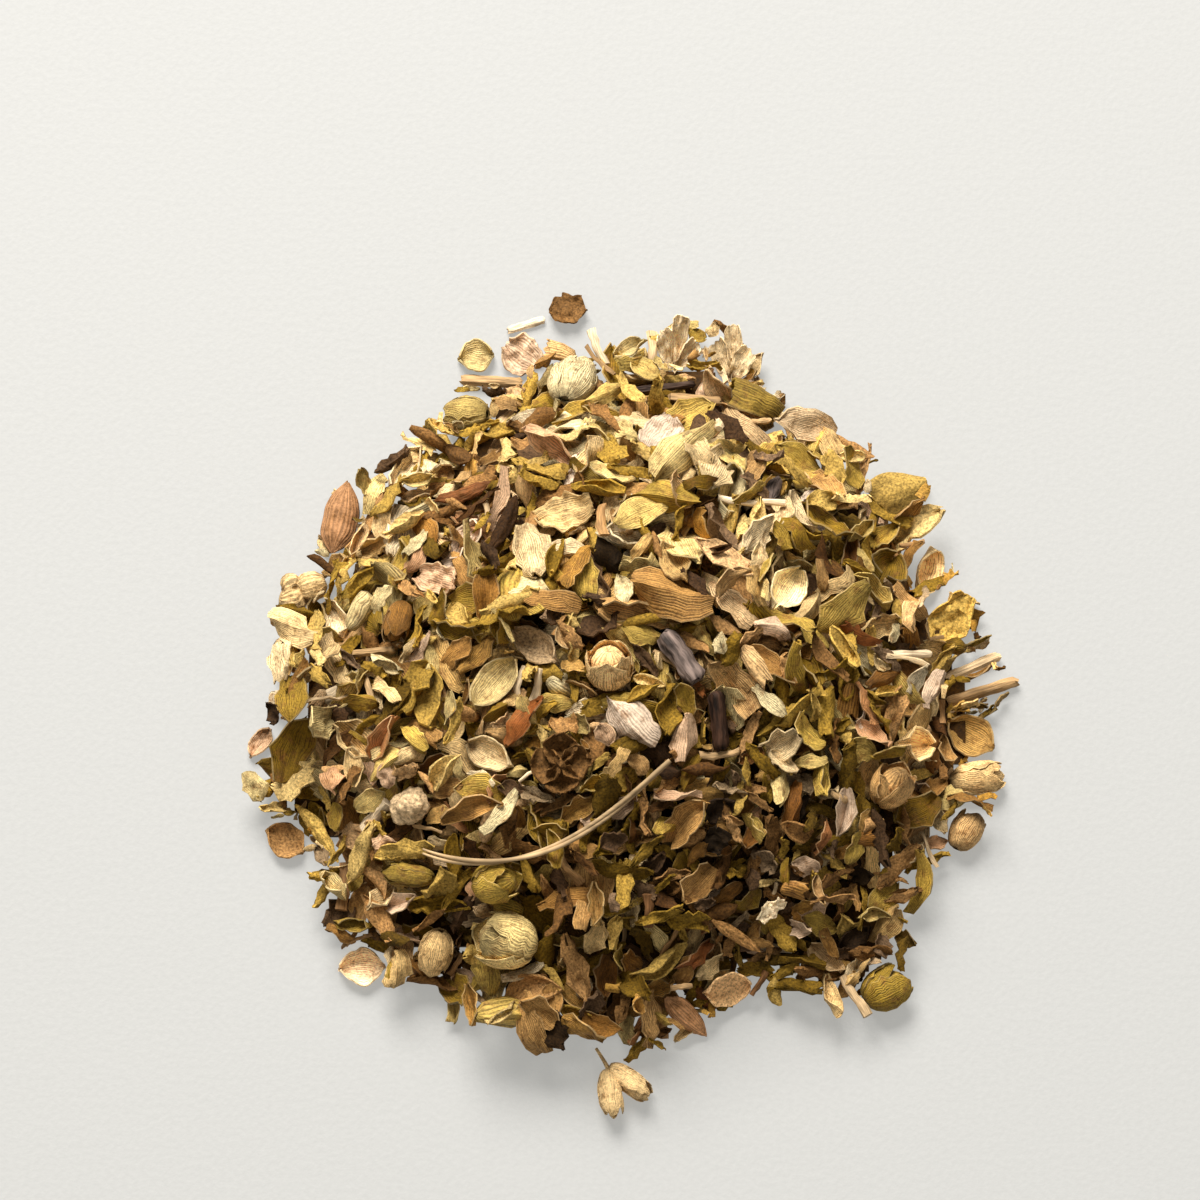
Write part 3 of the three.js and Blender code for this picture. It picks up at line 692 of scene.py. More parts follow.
@dataclass(frozen=True)
class EggPlan:
    """A closed bud that lies along X.

    Attributes:
        length: Root to tip.
        width: Across.
        ribs: How many scales show round it, as low ribs.
    """

    length: float
    width: float
    ribs: int = 4

    def model(self, name: str) -> Piece:
        """Models a small bud: a ball drawn to an egg, creased between its scales.

        Args:
            name: The object's name.

        Returns:
            The object, with its middle at the origin.
        """
        fresh()
        bpy.ops.mesh.primitive_uv_sphere_add(
            segments=10, ring_count=7, radius=0.5, rotation=(0, math.pi / 2, 0)
        )
        egg = bpy.context.object
        egg.name = name
        bpy.ops.object.transform_apply(location=False, rotation=True, scale=False)
        flat = points_of(egg)
        round_it = np.arctan2(flat[:, 2], flat[:, 1])
        pick(egg, np.cos(self.ribs * round_it) < -0.4)
        bpy.ops.transform.resize(value=(1, 0.88, 0.88), center_override=(0, 0, 0))
        pick(egg, flat[:, 0] > 0.1)
        bpy.ops.transform.resize(value=(1.1, 0.86, 0.86), center_override=(0, 0, 0))
        bpy.ops.mesh.select_all(action="SELECT")
        bpy.ops.transform.resize(
            value=(self.length * MM, self.width * MM, 0.9 * self.width * MM), center_override=(0, 0, 0)
        )
        bpy.ops.object.mode_set(mode="OBJECT")
        wrap_skin(egg)
        return egg


@dataclass(frozen=True)
class TubePlan:
    """A length of stem, a split stalk or a cup, drawn ring by ring along X.

    Attributes:
        rings: The distance along and the radius of each ring.
        sides: Sides of a ring.
        squeeze: Height as a share of width.
        square: How far every other corner stands out, as a share.
        wander: How far a ring strays to the side.
        wall: Thickness where it is open at its far end, or 0 for a closed one.
        teeth: How far every other corner of the last ring is drawn out.
        seed: For the wandering.
    """

    rings: tuple[tuple[float, float], ...]
    sides: int = 8
    squeeze: float = 1.0
    square: float = 0.0
    wander: float = 0.0
    wall: float = 0.0
    teeth: float = 0.0
    seed: int = 0

    def model(self, name: str) -> Piece:
        """Models the tube from a circle, extruded ring by ring.

        Args:
            name: The object's name.

        Returns:
            The object, along X.
        """
        rng = np.random.default_rng(self.seed)
        fresh()
        bpy.ops.mesh.primitive_circle_add(
            vertices=self.sides, radius=1.0, fill_type="NGON", rotation=(0, math.pi / 2, 0)
        )
        tube = bpy.context.object
        tube.name = name
        bpy.ops.object.transform_apply(location=False, rotation=True, scale=False)
        pick(tube, np.arange(self.sides) % 2 == 0)
        bpy.ops.transform.resize(value=(1, 1 + self.square, 1 + self.square), center_override=(0, 0, 0))
        bpy.ops.mesh.select_all(action="SELECT")
        first, radius = self.rings[0]
        bpy.ops.transform.resize(
            value=(1, radius * MM, self.squeeze * radius * MM), center_override=(0, 0, 0)
        )
        bpy.ops.transform.translate(value=(first * MM, 0, 0))
        centre = np.array([first * MM, 0.0, 0.0])
        for (last, before), (place, after) in zip(self.rings, self.rings[1:]):
            step = np.array([(place - last), *(self.wander * (rng.random(2) - 0.5))]) * MM
            centre = centre + step
            bpy.ops.mesh.extrude_region_move(TRANSFORM_OT_translate={"value": tuple(step)})
            ratio = after / before
            bpy.ops.transform.resize(value=(1, ratio, ratio), center_override=tuple(centre))
        if self.wall:
            bpy.ops.mesh.delete(type="ONLY_FACE")
        bpy.ops.object.mode_set(mode="OBJECT")
        if self.teeth:
            self._draw_teeth(tube, self.rings[-1][0] * MM)
        bpy.ops.object.mode_set(mode="EDIT")
        bpy.ops.mesh.select_all(action="SELECT")
        bpy.ops.mesh.normals_make_consistent(inside=False)
        bpy.ops.object.mode_set(mode="OBJECT")
        wrap_skin(tube)
        if self.wall:
            modify(tube, "SOLIDIFY", thickness=self.wall * MM, offset=-1.0)
        return tube

    def _draw_teeth(self, tube: Piece, end: float) -> None:
        """Draws out every other corner of the open end.

        Args:
            tube: The tube.
            end: How far along its open end lies, in metres.
        """
        points = points_of(tube)
        last = np.flatnonzero(points[:, 0] > end - 0.05 * MM)
        order = last[np.argsort(np.arctan2(points[last, 2], points[last, 1]))]
        chosen = np.zeros(len(points), bool)
        chosen[order[::2]] = True
        pick(tube, chosen)
        bpy.ops.transform.translate(value=(self.teeth * MM, 0, 0))
        bpy.ops.transform.resize(value=(1, 1.2, 1.2), center_override=(0, 0, 0))
        bpy.ops.object.mode_set(mode="OBJECT")


# Flakes as arrays, to be copied


@dataclass
class Flake:
    """A modelled flake, ready to be copied.

    Attributes:
        points: The places of its vertices in metres, about its middle.
        sizes: How many corners each face has.
        corners: The vertex of each corner, face after face.
        skin: The skin map of each corner.
        sheet: The place of each corner on the flake's own square of the flat sheet.
        starts: The first corner of each face.
    """

    points: np.ndarray
    sizes: np.ndarray
    corners: np.ndarray
    skin: np.ndarray
    sheet: np.ndarray
    starts: np.ndarray = field(init=False)

    def __post_init__(self) -> None:
        """Counts where each face starts."""
        self.starts = np.concatenate([[0], np.cumsum(self.sizes)[:-1]])

    def probes(self, points: np.ndarray) -> np.ndarray:
        """The vertices and the middles of the faces of a copy with these vertices."""
        middles = np.add.reduceat(points[self.corners], self.starts) / self.sizes[:, None]
        return np.concatenate([points, middles])

    @classmethod
    def taken(cls, piece: Piece, fronts: int = 0) -> "Flake":
        """Takes a flake off its modelled object, and removes the object.

        Args:
            piece: The finished mesh object.
            fronts: Faces on its upper side, which come first and are followed by as many
                on its underside, or 0 for a closed shape.

        Returns:
            The flake.
        """
        mesh = piece.data
        points = points_of(piece)
        sizes = np.empty(len(mesh.polygons), np.int32)
        mesh.polygons.foreach_get("loop_total", sizes)
        corners = np.empty(len(mesh.loops), np.int32)
        mesh.loops.foreach_get("vertex_index", corners)
        skin = np.empty(2 * len(mesh.loops))
        mesh.uv_layers[SKIN].data.foreach_get("uv", skin)
        skin = skin.reshape(-1, 2)
        middle = (points.min(0) + points.max(0)) / 2
        made = cls(points - middle, sizes, corners, skin, cls._flattened(sizes, skin, fronts))
        bpy.data.objects.remove(piece)
        return made

    @staticmethod
    def _flattened(sizes: np.ndarray, skin: np.ndarray, fronts: int) -> np.ndarray:
        """Spreads the faces over a square so that none lie on each other.

        Args:
            sizes: How many corners each face has.
            skin: The skin map of each corner.
            fronts: Faces on its upper side, or 0 for a closed shape.

        Returns:
            The place of each corner on the square.
        """
        starts = np.concatenate([[0], np.cumsum(sizes)])
        sheet = np.empty_like(skin)
        rest = len(sizes) - 2 * fronts
        if fronts:
            front, back = starts[fronts], starts[2 * fronts]
            sheet[:front] = skin[:front] * (0.46, 0.96) + (0.01, 0.02)
            sheet[front:back] = skin[front:back] * (0.46, 0.96) + (0.49, 0.02)
            columns, left, width = 1, 0.965, 0.03
        else:
            columns, left, width = math.ceil(math.sqrt(rest)), 0.01, 0.98
        rows = math.ceil(rest / columns)
        for k in range(rest):
            face = 2 * fronts + k
            count = sizes[face]
            turn = math.tau * (np.arange(count) + 0.5) / count
            square = np.stack([np.cos(turn), np.sin(turn)], 1) * 0.6 + 0.5
            cell = np.array([k % columns, k // columns])
            place = (cell + 0.1 + 0.8 * square.clip(0, 1)) / (columns, rows)
            sheet[starts[face] : starts[face + 1]] = place * (width, 0.98) + (left, 0.01)
        return sheet


class FlakeGroup:
    """The flakes of one kind and colour, joined in one piece."""

    def __init__(self, name: str, slot: str) -> None:
        """Starts an empty group.

        Args:
            name: The piece's name.
            slot: Its finish.
        """
        self.name = name
        self.slot = slot
        self.flakes: list[tuple[Flake, np.ndarray, float, float]] = []

    def lay(self, flake: Flake, points: np.ndarray, tint: float, shade: float) -> None:
        """Adds a copy of a flake.

        Args:
            flake: The flake.
            points: Where this copy's vertices lie.
            tint: From the finish's darkest shade, 0, to its palest, 1.
            shade: Brightness of this copy.
        """
        self.flakes.append((flake, points, tint, shade))

    def build(self) -> Piece:
        """Makes one mesh of all the copies.

        Returns:
            The piece's object.
        """
        counts = [len(points) for _, points, _, _ in self.flakes]
        starts = np.concatenate([[0], np.cumsum(counts)])
        side = math.ceil(math.sqrt(len(self.flakes)))
        sheets = [
            (flake.sheet * 0.94 + 0.03 + (k % side, k // side)) / side
            for k, (flake, *_) in enumerate(self.flakes)
        ]
        corners = np.concatenate([flake.corners + start for (flake, *_), start in zip(self.flakes, starts)])
        sizes = np.concatenate([flake.sizes for flake, *_ in self.flakes])
        mesh = bpy.data.meshes.new(self.name)
        mesh.vertices.add(starts[-1])
        places = np.concatenate([points for _, points, _, _ in self.flakes])
        mesh.vertices.foreach_set("co", places.astype(np.float32).ravel())
        mesh.loops.add(len(corners))
        mesh.loops.foreach_set("vertex_index", corners)
        mesh.polygons.add(len(sizes))
        mesh.polygons.foreach_set("loop_start", np.concatenate([[0], np.cumsum(sizes)[:-1]]))
        mesh.update(calc_edges=True)
        for name, places in ((SKIN, [f[0].skin for f in self.flakes]), (SHEET, sheets)):
            layer = mesh.uv_layers.new(name=name)
            layer.data.foreach_set("uv", np.concatenate(places).astype(np.float32).ravel())
        for name, column in (("tint", 2), ("shade", 3)):
            values = np.repeat([f[column] for f in self.flakes], counts)
            mesh.attributes.new(name, "FLOAT", "POINT").data.foreach_set("value", values.astype(np.float32))
        piece = bpy.data.objects.new(self.name, mesh)
        bpy.context.scene.collection.objects.link(piece)
        return piece


class Delivery:
    """Dresses finished pieces, parents them to the root and hides the solids that they stand for."""

    def __init__(self) -> None:
        """Makes each finish's material once."""
        self.materials = {slot: finish.material() for slot, finish in FINISHES.items()}

    def hand_over(self, piece: Piece, slot: str, *nodes: str, angle: float = 50.0) -> None:
        """Dresses a piece, smooths its shading and ties it to the frame.

        Args:
            piece: The finished object.
            slot: Its finish.
            *nodes: The solids that it stands for.
            angle: Edges sharper than this stay sharp.
        """
        fresh()
        piece.select_set(True)
        bpy.context.view_layer.objects.active = piece
        bpy.ops.object.shade_smooth_by_angle(angle=math.radians(angle))
        piece.data.materials.clear()
        piece.data.materials.append(self.materials[slot])
        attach(piece, "root")
        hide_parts(*nodes)
        LOG.info("%s: %d faces", piece.name, len(piece.data.polygons))


def set_tint(piece: Piece, tint: float, shade: float, cap: float = 0.0) -> None:
    """Gives a piece its tint and brightness.

    Args:
        piece: The object, along X if it has a withered tip.
        tint: From the finish's darkest shade, 0, to its palest, 1.
        shade: Brightness.
        cap: How much darker its tip is.
    """
    along = points_of(piece)[:, 0]
    share = (along - along.min()) / (along.max() - along.min())
    withered = cap * np.clip((share - 0.68) / 0.2, 0, 1)
    for name, values in (("tint", np.full(len(along), tint)), ("shade", shade * (1 - withered))):
        made = piece.data.attributes.new(name, "FLOAT", "POINT")
        made.data.foreach_set("value", values.astype(np.float32))


# The pieces that can be told apart


@dataclass(frozen=True)
class PieceFrame:
    """Where a solid lies: its middle, its own axes from longest to shortest, and its size along them.

    Attributes:
        middle: The middle of its box along its own axes, in metres.
        axes: One row for each axis. The first points from root to tip and the last up.
        size: Its size along them, in millimetres.
    """

    middle: np.ndarray
    axes: np.ndarray
    size: np.ndarray

    @classmethod
    def of(cls, node: str) -> "PieceFrame":
        """Finds the frame of a solid from its shape.

        Args:
            node: The solid's name.

        Returns:
            Its frame.
        """
        points = np.unique(points_of(frame["nodes"][node]).round(7), axis=0)
        spread = points - points.mean(0)
        _, _, axes = np.linalg.svd(spread, full_matrices=False)
        if axes[2, 2] < 0:
            axes[2] *= -1
        along = points @ axes[0]
        if along.mean() > (along.min() + along.max()) / 2:
            axes[0] *= -1
        axes[1] = np.cross(axes[2], axes[0])
        places = points @ axes.T
        low, high = places.min(0), places.max(0)
        return cls((low + high) / 2 @ axes, axes, (high - low) / MM)

    def fit(self, piece: Piece, clear: float = 0.04) -> None:
        """Stretches a piece to fill the frame, and keeps it in the solids' box.

        Args:
            piece: The finished object, modelled along X with its face up.
            clear: How far it stays inside, in millimetres.
        """
        points = points_of(piece)
        low, high = points.min(0), points.max(0)
        scale = (self.size - clear) * MM / (high - low)
        placed = self.middle + (points - (low + high) / 2) * scale @ self.axes
        below, above = CAD_BOX[0] - placed.min(0), placed.max(0) - CAD_BOX[1]
        set_points(piece, placed + np.maximum(below, 0) - np.maximum(above, 0))


class Form(Enum):
    """What a piece is, and so how it is modelled."""

    BUD = "closed bud"
    TWIN = "two buds on a stalk"
    LUMP = "knobs or felt"
    CUP = "open calyx"
    STEM = "length of stem"
    ROLL = "rolled leaf"
    BRACT = "cupped bract"
    SHARD = "broken leaf"
    TOOTHED = "leaf end with teeth"
    PETALS = "crumpled petals"


@dataclass(frozen=True)
class Look:
    """What tells one piece from others of its finish.

    Attributes:
        form: What it is.
        tint: From the finish's darkest shade, 0, to its palest, 1.
        shade: Its brightness: its own tone, with painted light and painted shade for how it lies in the
            light.
        turned: Its root is at the other end of its solid.
        cap: How much darker its withered tip is.
    """

    form: Form
    tint: float = 0.5
    shade: float = 1.0
    turned: bool = False
    cap: float = 0.0


# A piece's shade holds its own tone and also painted light and painted shade for where it lies and how it
# faces the light
LOOKS = {
    "striped_bud": Look(Form.BUD, 0.95),
    "upper_left_bud": Look(Form.BUD, 0.6, 0.85),
    "centre_bud": Look(Form.BUD, 0.5, 1.3),
    "large_low_bud": Look(Form.BUD, 0.75, 1.45, cap=0.6),
    "golden_bud": Look(Form.BUD, 0.4, 1.3),
    "cream_low_bud": Look(Form.BUD, 0.45, 1.2),
    "spindle_bud": Look(Form.BUD, 0.4, 0.9),
    "right_rim_bud": Look(Form.BUD, 0.45, 1.15),
    "right_low_bud": Look(Form.BUD, 0.7, 1.2, cap=0.6),
    "right_inner_bud": Look(Form.BUD, 0.6, 1.3, cap=0.5),
    "chain_end_bud": Look(Form.BUD, 0.3, 0.9),
    "striped_brown_bud": Look(Form.BUD, 0.2, 0.85),
    "twin_bud": Look(Form.TWIN, 0.55, 1.35, True),
    "pale_galls": Look(Form.LUMP, 0.5, 0.95),
    "woolly_scrap": Look(Form.LUMP, 0.5, 0.95),
    "brown_rosette": Look(Form.CUP, 0.4, 0.7),
    "dark_twig_upper": Look(Form.STEM, 0.6, 1.15),
    "dark_twig_lower": Look(Form.STEM, 0.2, 1.1),
    "rim_stick_long": Look(Form.STEM, 0.4, 1.05),
    "rim_stick_short": Look(Form.STEM, 0.7, 1.2),
    "top_left_stem": Look(Form.STEM, 0.45),
    "flat_stem_chip": Look(Form.STEM, 0.4, 0.85),
    "slender_dark_twig": Look(Form.STEM, 0.35),
    "pale_stick_right": Look(Form.STEM, 0.95, 1.6),
    "left_stick": Look(Form.STEM, 0.45, 0.85),
    "white_splinter": Look(Form.STEM, 1.0, 1.2),
    "knobbed_twig": Look(Form.ROLL, 0.55),
    "rosy_left_leaf": Look(Form.ROLL, 0.3, 0.8),
    "olive_roll": Look(Form.ROLL, 0.7, 1.5),
    "dark_roll": Look(Form.ROLL, 0.3, 0.8),
    "rosy_roll": Look(Form.ROLL, 0.05, 0.6),
    "plum_roll": Look(Form.ROLL, 0.05, 0.45),
    "brown_roll_low": Look(Form.ROLL, 0.6, 1.6),
    "tan_pod": Look(Form.ROLL, 0.3, 1.1),
    "brown_oval": Look(Form.BRACT, 0.75),
    "tan_fan": Look(Form.BRACT, 1.0, 1.9),
    "green_round": Look(Form.BRACT, 0.8, 1.0),
    "green_cup": Look(Form.BRACT, 0.15, 0.75),
    "tan_shell": Look(Form.BRACT, 0.6, 1.8),
    "right_fan": Look(Form.BRACT, 0.25, 0.9),
    "striped_shell": Look(Form.BRACT, 0.5, 1.7),
    "centre_bract": Look(Form.BRACT, 0.8, 0.95),
    "grey_leaf": Look(Form.BRACT, 0.95, 1.4),
    "cream_bract": Look(Form.BRACT, 0.7, 0.95),
    "right_bract": Look(Form.BRACT, 0.95, 1.7),
    "brown_disc": Look(Form.BRACT, 0.95, 1.7),
    "stray_tan_wedge": Look(Form.BRACT, 0.55, 0.9),
    "peach_flake": Look(Form.SHARD, 0.75, 1.05),
    # The crest petals are brightened as painted light, for light that shines through thin petals
    "pale_crest_left": Look(Form.PETALS, 0.95, 1.5),
    "pale_crest_right": Look(Form.PETALS, 0.85, 1.15),
    "torn_right_leaf": Look(Form.SHARD, 0.65, 1.5),
    "pink_flake": Look(Form.SHARD, 0.9, 0.8),
    "orange_flake": Look(Form.SHARD, 0.55, 0.95),
    "golden_flake": Look(Form.SHARD, 0.5, 0.95),
    "clear_chip": Look(Form.SHARD, 1.0, 2.0),
    "stray_brown_flake": Look(Form.SHARD, 0.5, 0.75),
    "toothed_fold": Look(Form.TOOTHED, 0.4, 0.6),
    "toothed_edge_leaf": Look(Form.TOOTHED, 0.7, 0.85),
}


@dataclass
class ScaledBud:
    """A closed bud in full detail: an egg wrapped in overlapping scales.

    Attributes:
        length: Root to tip.
        width: Across.
        seed: For the scales and the dents.
        scales: How many scales wrap it.
        wrap: Half of what a scale covers round the bud, in degrees.
        lift: How far a tip stands off, as a share of the width.
        rng: Its seeded generator.
    """

    length: float
    width: float
    seed: int
    scales: int = 5
    wrap: float = 72.0
    lift: float = 0.24
    rng: np.random.Generator = field(init=False)

    def __post_init__(self) -> None:
        """Starts the generator."""
        self.rng = np.random.default_rng(self.seed)

    def model(self, name: str) -> Piece:
        """Models the bud.

        Args:
            name: The object's name.

        Returns:
            The object, along X.
        """
        fresh()
        bpy.ops.mesh.primitive_uv_sphere_add(
            segments=16, ring_count=12, radius=0.5, rotation=(0, math.pi / 2, 0)
        )
        core = bpy.context.object
        bpy.ops.object.transform_apply(location=False, rotation=True, scale=False)
        core.scale = (0.9 * self.length * MM, 0.86 * self.width * MM, 0.86 * self.width * MM)
        bpy.ops.object.transform_apply(location=False, rotation=False, scale=True)
        wrap_skin(core)
        scales = []
        turn = self.rng.random() * 360
        for k in range(self.scales):
            off, reach = 0.02 * (self.scales - k) - 0.03, 0.76 + 0.24 * self.rng.random()
            scales.append(self._scale(turn + 137.5 * k, off, reach))
        joined([core, *scales], name)
        dents = bpy.data.textures.new("dents", "CLOUDS")
        dents.noise_scale = 0.9 * MM
        core.location = (0.05 * self.rng.random(), 0, 0)
        bpy.context.view_layer.update()
        modify(core, "DISPLACE", texture=dents, texture_coords="GLOBAL", strength=0.3 * MM, mid_level=0.5)
        core.location = (0, 0, 0)
        return core

    def _scale(self, turn: float, off: float, reach: float) -> Piece:
        """Models one scale, wrapped over the egg.

        Args:
            turn: Its middle round the bud, in degrees.
            off: How far it stands off the egg, as a share of the width.
            reach: How much of the bud's length it covers.

        Returns:
            The scale's object.
        """
        fresh()
        bpy.ops.mesh.primitive_grid_add(x_subdivisions=12, y_subdivisions=10, size=2, calc_uvs=True)
        scale = bpy.context.object
        scale.data.uv_layers[0].name = SKIN
        flat = points_of(scale)
        along, across = (flat[:, 0] + 1) / 2, flat[:, 1]
        polar = math.pi * (0.05 + 0.9 * reach * along)
        whole = np.array(leaf_outline(0.5, 0.6, 0.1, 12, 1.0))
        nicked = whole * (1 - np.linspace(0.0, 0.6, 13) * self.rng.random(13))
        outline = nicked[np.rint(along * 12).astype(int)]
        azimuth = math.radians(turn) + math.radians(self.wrap) * across * outline
        ribs = 0.02 * np.cos(5 * math.pi * across) + 0.03 * abs(across) ** 3
        radius = 0.5 * self.width * (np.sin(polar) ** 0.85 * (1 + off + ribs) + off + self.lift * along**5)
        place = np.stack(
            [-0.5 * self.length * np.cos(polar), radius * np.cos(azimuth), radius * np.sin(azimuth)], 1
        )
        set_points(scale, place * MM)
        modify(scale, "SOLIDIFY", thickness=0.07 * MM, offset=0.0)
        return scale


@dataclass
class ToldApart:
    """Models each piece that can be told apart, in the frame of its own solid.

    Attributes:
        delivery: What dresses and delivers the pieces.
        rows: Rows of faces on a sheet from root to tip.
        columns: Strips across a sheet.
        slots: The finish of each solid.
    """

    delivery: Delivery
    rows: int = 10
    columns: int = 8
    slots: dict[str, str] = field(init=False)

    def __post_init__(self) -> None:
        """Reads each solid's finish from the record."""
        self.slots = {s["node"]: s["material_slot"] for s in frame["record"]["subparts"]}

    def build(self) -> list[Piece]:
        """Models and delivers every piece.

        Returns:
            The pieces, in order.
        """
        made = []
        for seed, (node, look) in enumerate(LOOKS.items()):
            place = PieceFrame.of(node)
            piece = self._model(node, look.form, place, seed)
            set_tint(piece, look.tint, look.shade, look.cap)
            if look.turned:
                turned(piece, (0, 0, math.pi))
            place.fit(piece)
            self.delivery.hand_over(piece, self.slots[node], node)
            made.append(piece)
        return made

    def _model(self, node: str, form: Form, place: PieceFrame, seed: int) -> Piece:
        """Models one piece along X.

        Args:
            node: The solid that it stands for.
            form: What it is.
            place: The solid's frame.
            seed: Its own seed.

        Returns:
            The object, not yet fitted to its frame.
        """
        name = node + "_fine"
        length, width, depth = place.size
        if form is Form.BUD:
            return ScaledBud(float(length), float(width), seed).model(name)
        if form is Form.TWIN:
            return self._twin(name, length, width, seed)
        if form is Form.LUMP:
            return self._lump(name, node)
        if form is Form.CUP:
            return self._open_calyx(name, length)
        if form is Form.STEM:
            return self._stem(name, length, width, depth, seed)
        if form is Form.PETALS:
            return self._petals(name, length, width, seed)
        return self._sheet(form, length, width, depth, seed).model(name)

    def _sheet(self, form: Form, length: float, width: float, depth: float, seed: int) -> SheetPlan:
        """Plans a bract, shard, toothed leaf or roll of this size.

        Args:
            form: What it is.
            length: Its solid's length in millimetres.
            width: Its solid's width.
            depth: Its solid's depth.
            seed: Its own seed.

        Returns:
            The plan.
        """
        rng = np.random.default_rng(seed)
        egg = leaf_outline(0.42, 0.16, 0.1, self.rows)
        rise = max(0.3, depth - 0.3)
        egg, other = (tuple(np.array(egg) * (1 - 0.14 * rng.random(self.rows + 1))) for _ in range(2))
        plan = SheetPlan(length, width, egg, other, cup=rise, columns=self.columns, smooth=2, wall=0.13)
        plan = replace(plan, seed=seed)
        if form is Form.BRACT:
            return replace(plan, flute=0.06, arch=30.0, twist=8.0, torn=0.12, pucker=0.4)
        if form is Form.ROLL:
            plan = replace(plan, width=2.4 * width, cup=0.0, flute=0.3, roll=235.0, taper=0.8, arch=14.0)
            return replace(plan, torn=0.2, pucker=0.7, crease=0.3)
        if form is Form.TOOTHED:
            fan = (0.34, 0.5, 0.66, 0.8, 0.9, 0.97, 1.0, 0.96, 0.84)
            plan = replace(plan, left=fan, right=fan, cup=-rise, arch=-30.0, columns=12, smooth=1)
            return replace(plan, teeth=0.5, flute=0.12, pucker=0.6)
        whole = np.array(leaf_outline(0.5, 0.5, 0.3, self.rows, 0.6))
        left, right = (tuple(whole * (0.6 + 0.4 * rng.random(self.rows + 1))) for _ in range(2))
        plan = replace(plan, left=left, right=right, cup=0.3 * rise, torn=0.3, twist=16.0, smooth=1)
        return replace(plan, pucker=0.7, crease=0.5)

    def _stem(self, name: str, length: float, width: float, depth: float, seed: int) -> Piece:
        """Models a fluted length of stem with broken ends.

        Args:
            name: The object's name.
            length: Its solid's length in millimetres.
            width: Its solid's width.
            depth: Its solid's depth.
            seed: Its own seed.

        Returns:
            The object, along X.
        """
        rng = np.random.default_rng(seed)
        ends = ((0.0, 0.55), (0.03, 0.9))
        middle = ((k / 10, 0.93 + 0.14 * rng.random()) for k in range(1, 10))
        shares = (*ends, *middle, *((1 - s, r) for s, r in ends[::-1]))
        rings = tuple((share * length, 0.5 * width * radius) for share, radius in shares)
        plan = TubePlan(rings, 12, depth / width, 0.14, 0.03 * width, seed=seed)
        stem = plan.model(name)
        ends = np.isclose(points_of(stem)[:, 0] % (length * MM), 0, atol=0.05 * MM)
        pick(stem, ends)
        bpy.ops.transform.vertex_random(offset=0.25 * width * MM, uniform=0.2, seed=seed)
        pick(stem, ~ends)
        bpy.ops.transform.vertex_random(offset=0.07 * width * MM, uniform=0.2, seed=seed)
        bpy.ops.object.mode_set(mode="OBJECT")
        return stem

    def _lump(self, name: str, node: str) -> Piece:
        """Refines a copy of a lumpy solid.

        Args:
            name: The object's name.
            node: The solid that it stands for.

        Returns:
            The object, along X.
        """
        fresh()
        lump = frame["nodes"][node].copy()
        lump.data = lump.data.copy()
        lump.name = name
        lump.parent = None
        for key in list(lump.keys()):
            del lump[key]
        bpy.context.scene.collection.objects.link(lump)
        lump.select_set(True)
        bpy.context.view_layer.objects.active = lump
        bpy.ops.object.mode_set(mode="EDIT")
        bpy.ops.mesh.select_all(action="SELECT")
        bpy.ops.mesh.remove_doubles(threshold=0.001 * MM)
        bpy.ops.object.mode_set(mode="OBJECT")
        place = PieceFrame.of(node)
        set_points(lump, (points_of(lump) - place.middle) @ place.axes.T)
        modify(lump, "SUBSURF", levels=2, render_levels=2)
        grain = bpy.data.textures.new("lumps", "CLOUDS")
        grain.noise_scale = 0.5 * MM
        modify(lump, "DISPLACE", texture=grain, strength=0.35 * MM, mid_level=0.5)
        while lump.data.uv_layers:
            lump.data.uv_layers.remove(lump.data.uv_layers[0])
        wrap_skin(lump)
        return lump

    def _twin(self, name: str, length: float, width: float, seed: int) -> Piece:
        """Models two buds side by side on one short stalk.

        Args:
            name: The object's name.
            length: Its solid's length in millimetres.
            width: Its solid's width.
            seed: Its own seed.

        Returns:
            The object, along X.
        """
        parts = []
        for turn, share in ((34, 0.72), (-34, 0.66)):
            plan = ScaledBud(float(share * length), float(0.46 * width), seed + int(turn > 0))
            bud = plan.model("bud")
            set_points(bud, points_of(bud) + (0.36 * length * MM, 0, 0))
            turned(bud, (0, 0, math.radians(turn)))
            parts.append(bud)
        rings = ((-0.3 * length, 0.16), (-0.1 * length, 0.2), (0.12 * length, 0.3))
        parts.append(TubePlan(rings, 8, wander=0.2).model("stalk"))
        return joined(parts, name)

    def _petals(self, name: str, length: float, width: float, seed: int) -> Piece:
        """Models three torn petals, spread from one root.

        Args:
            name: The object's name.
            length: Its solid's length in millimetres.
            width: Its solid's width.
            seed: Its own seed.

        Returns:
            The object, along X.
        """
        outline = (0.25, 0.4, 0.62, 0.85, 1.0, 0.96, 0.9)
        parts = []
        for k, (turn, share) in enumerate(((0, 1.0), (34, 0.8), (-38, 0.7))):
            plan = SheetPlan(share * length, 0.62 * width, outline, outline, 0.5, torn=0.3)
            plan = replace(plan, arch=20.0 - 30 * k, twist=24.0 * (k - 1))
            part = replace(plan, teeth=0.5, pucker=0.8, crease=0.7, smooth=1, seed=seed + k).model("petal")
            set_points(part, points_of(part) + (0.5 * share * length * MM, 0, 0.35 * k * MM))
            turned(part, (0, 0, math.radians(turn)))
            parts.append(part)
        return joined(parts, name)

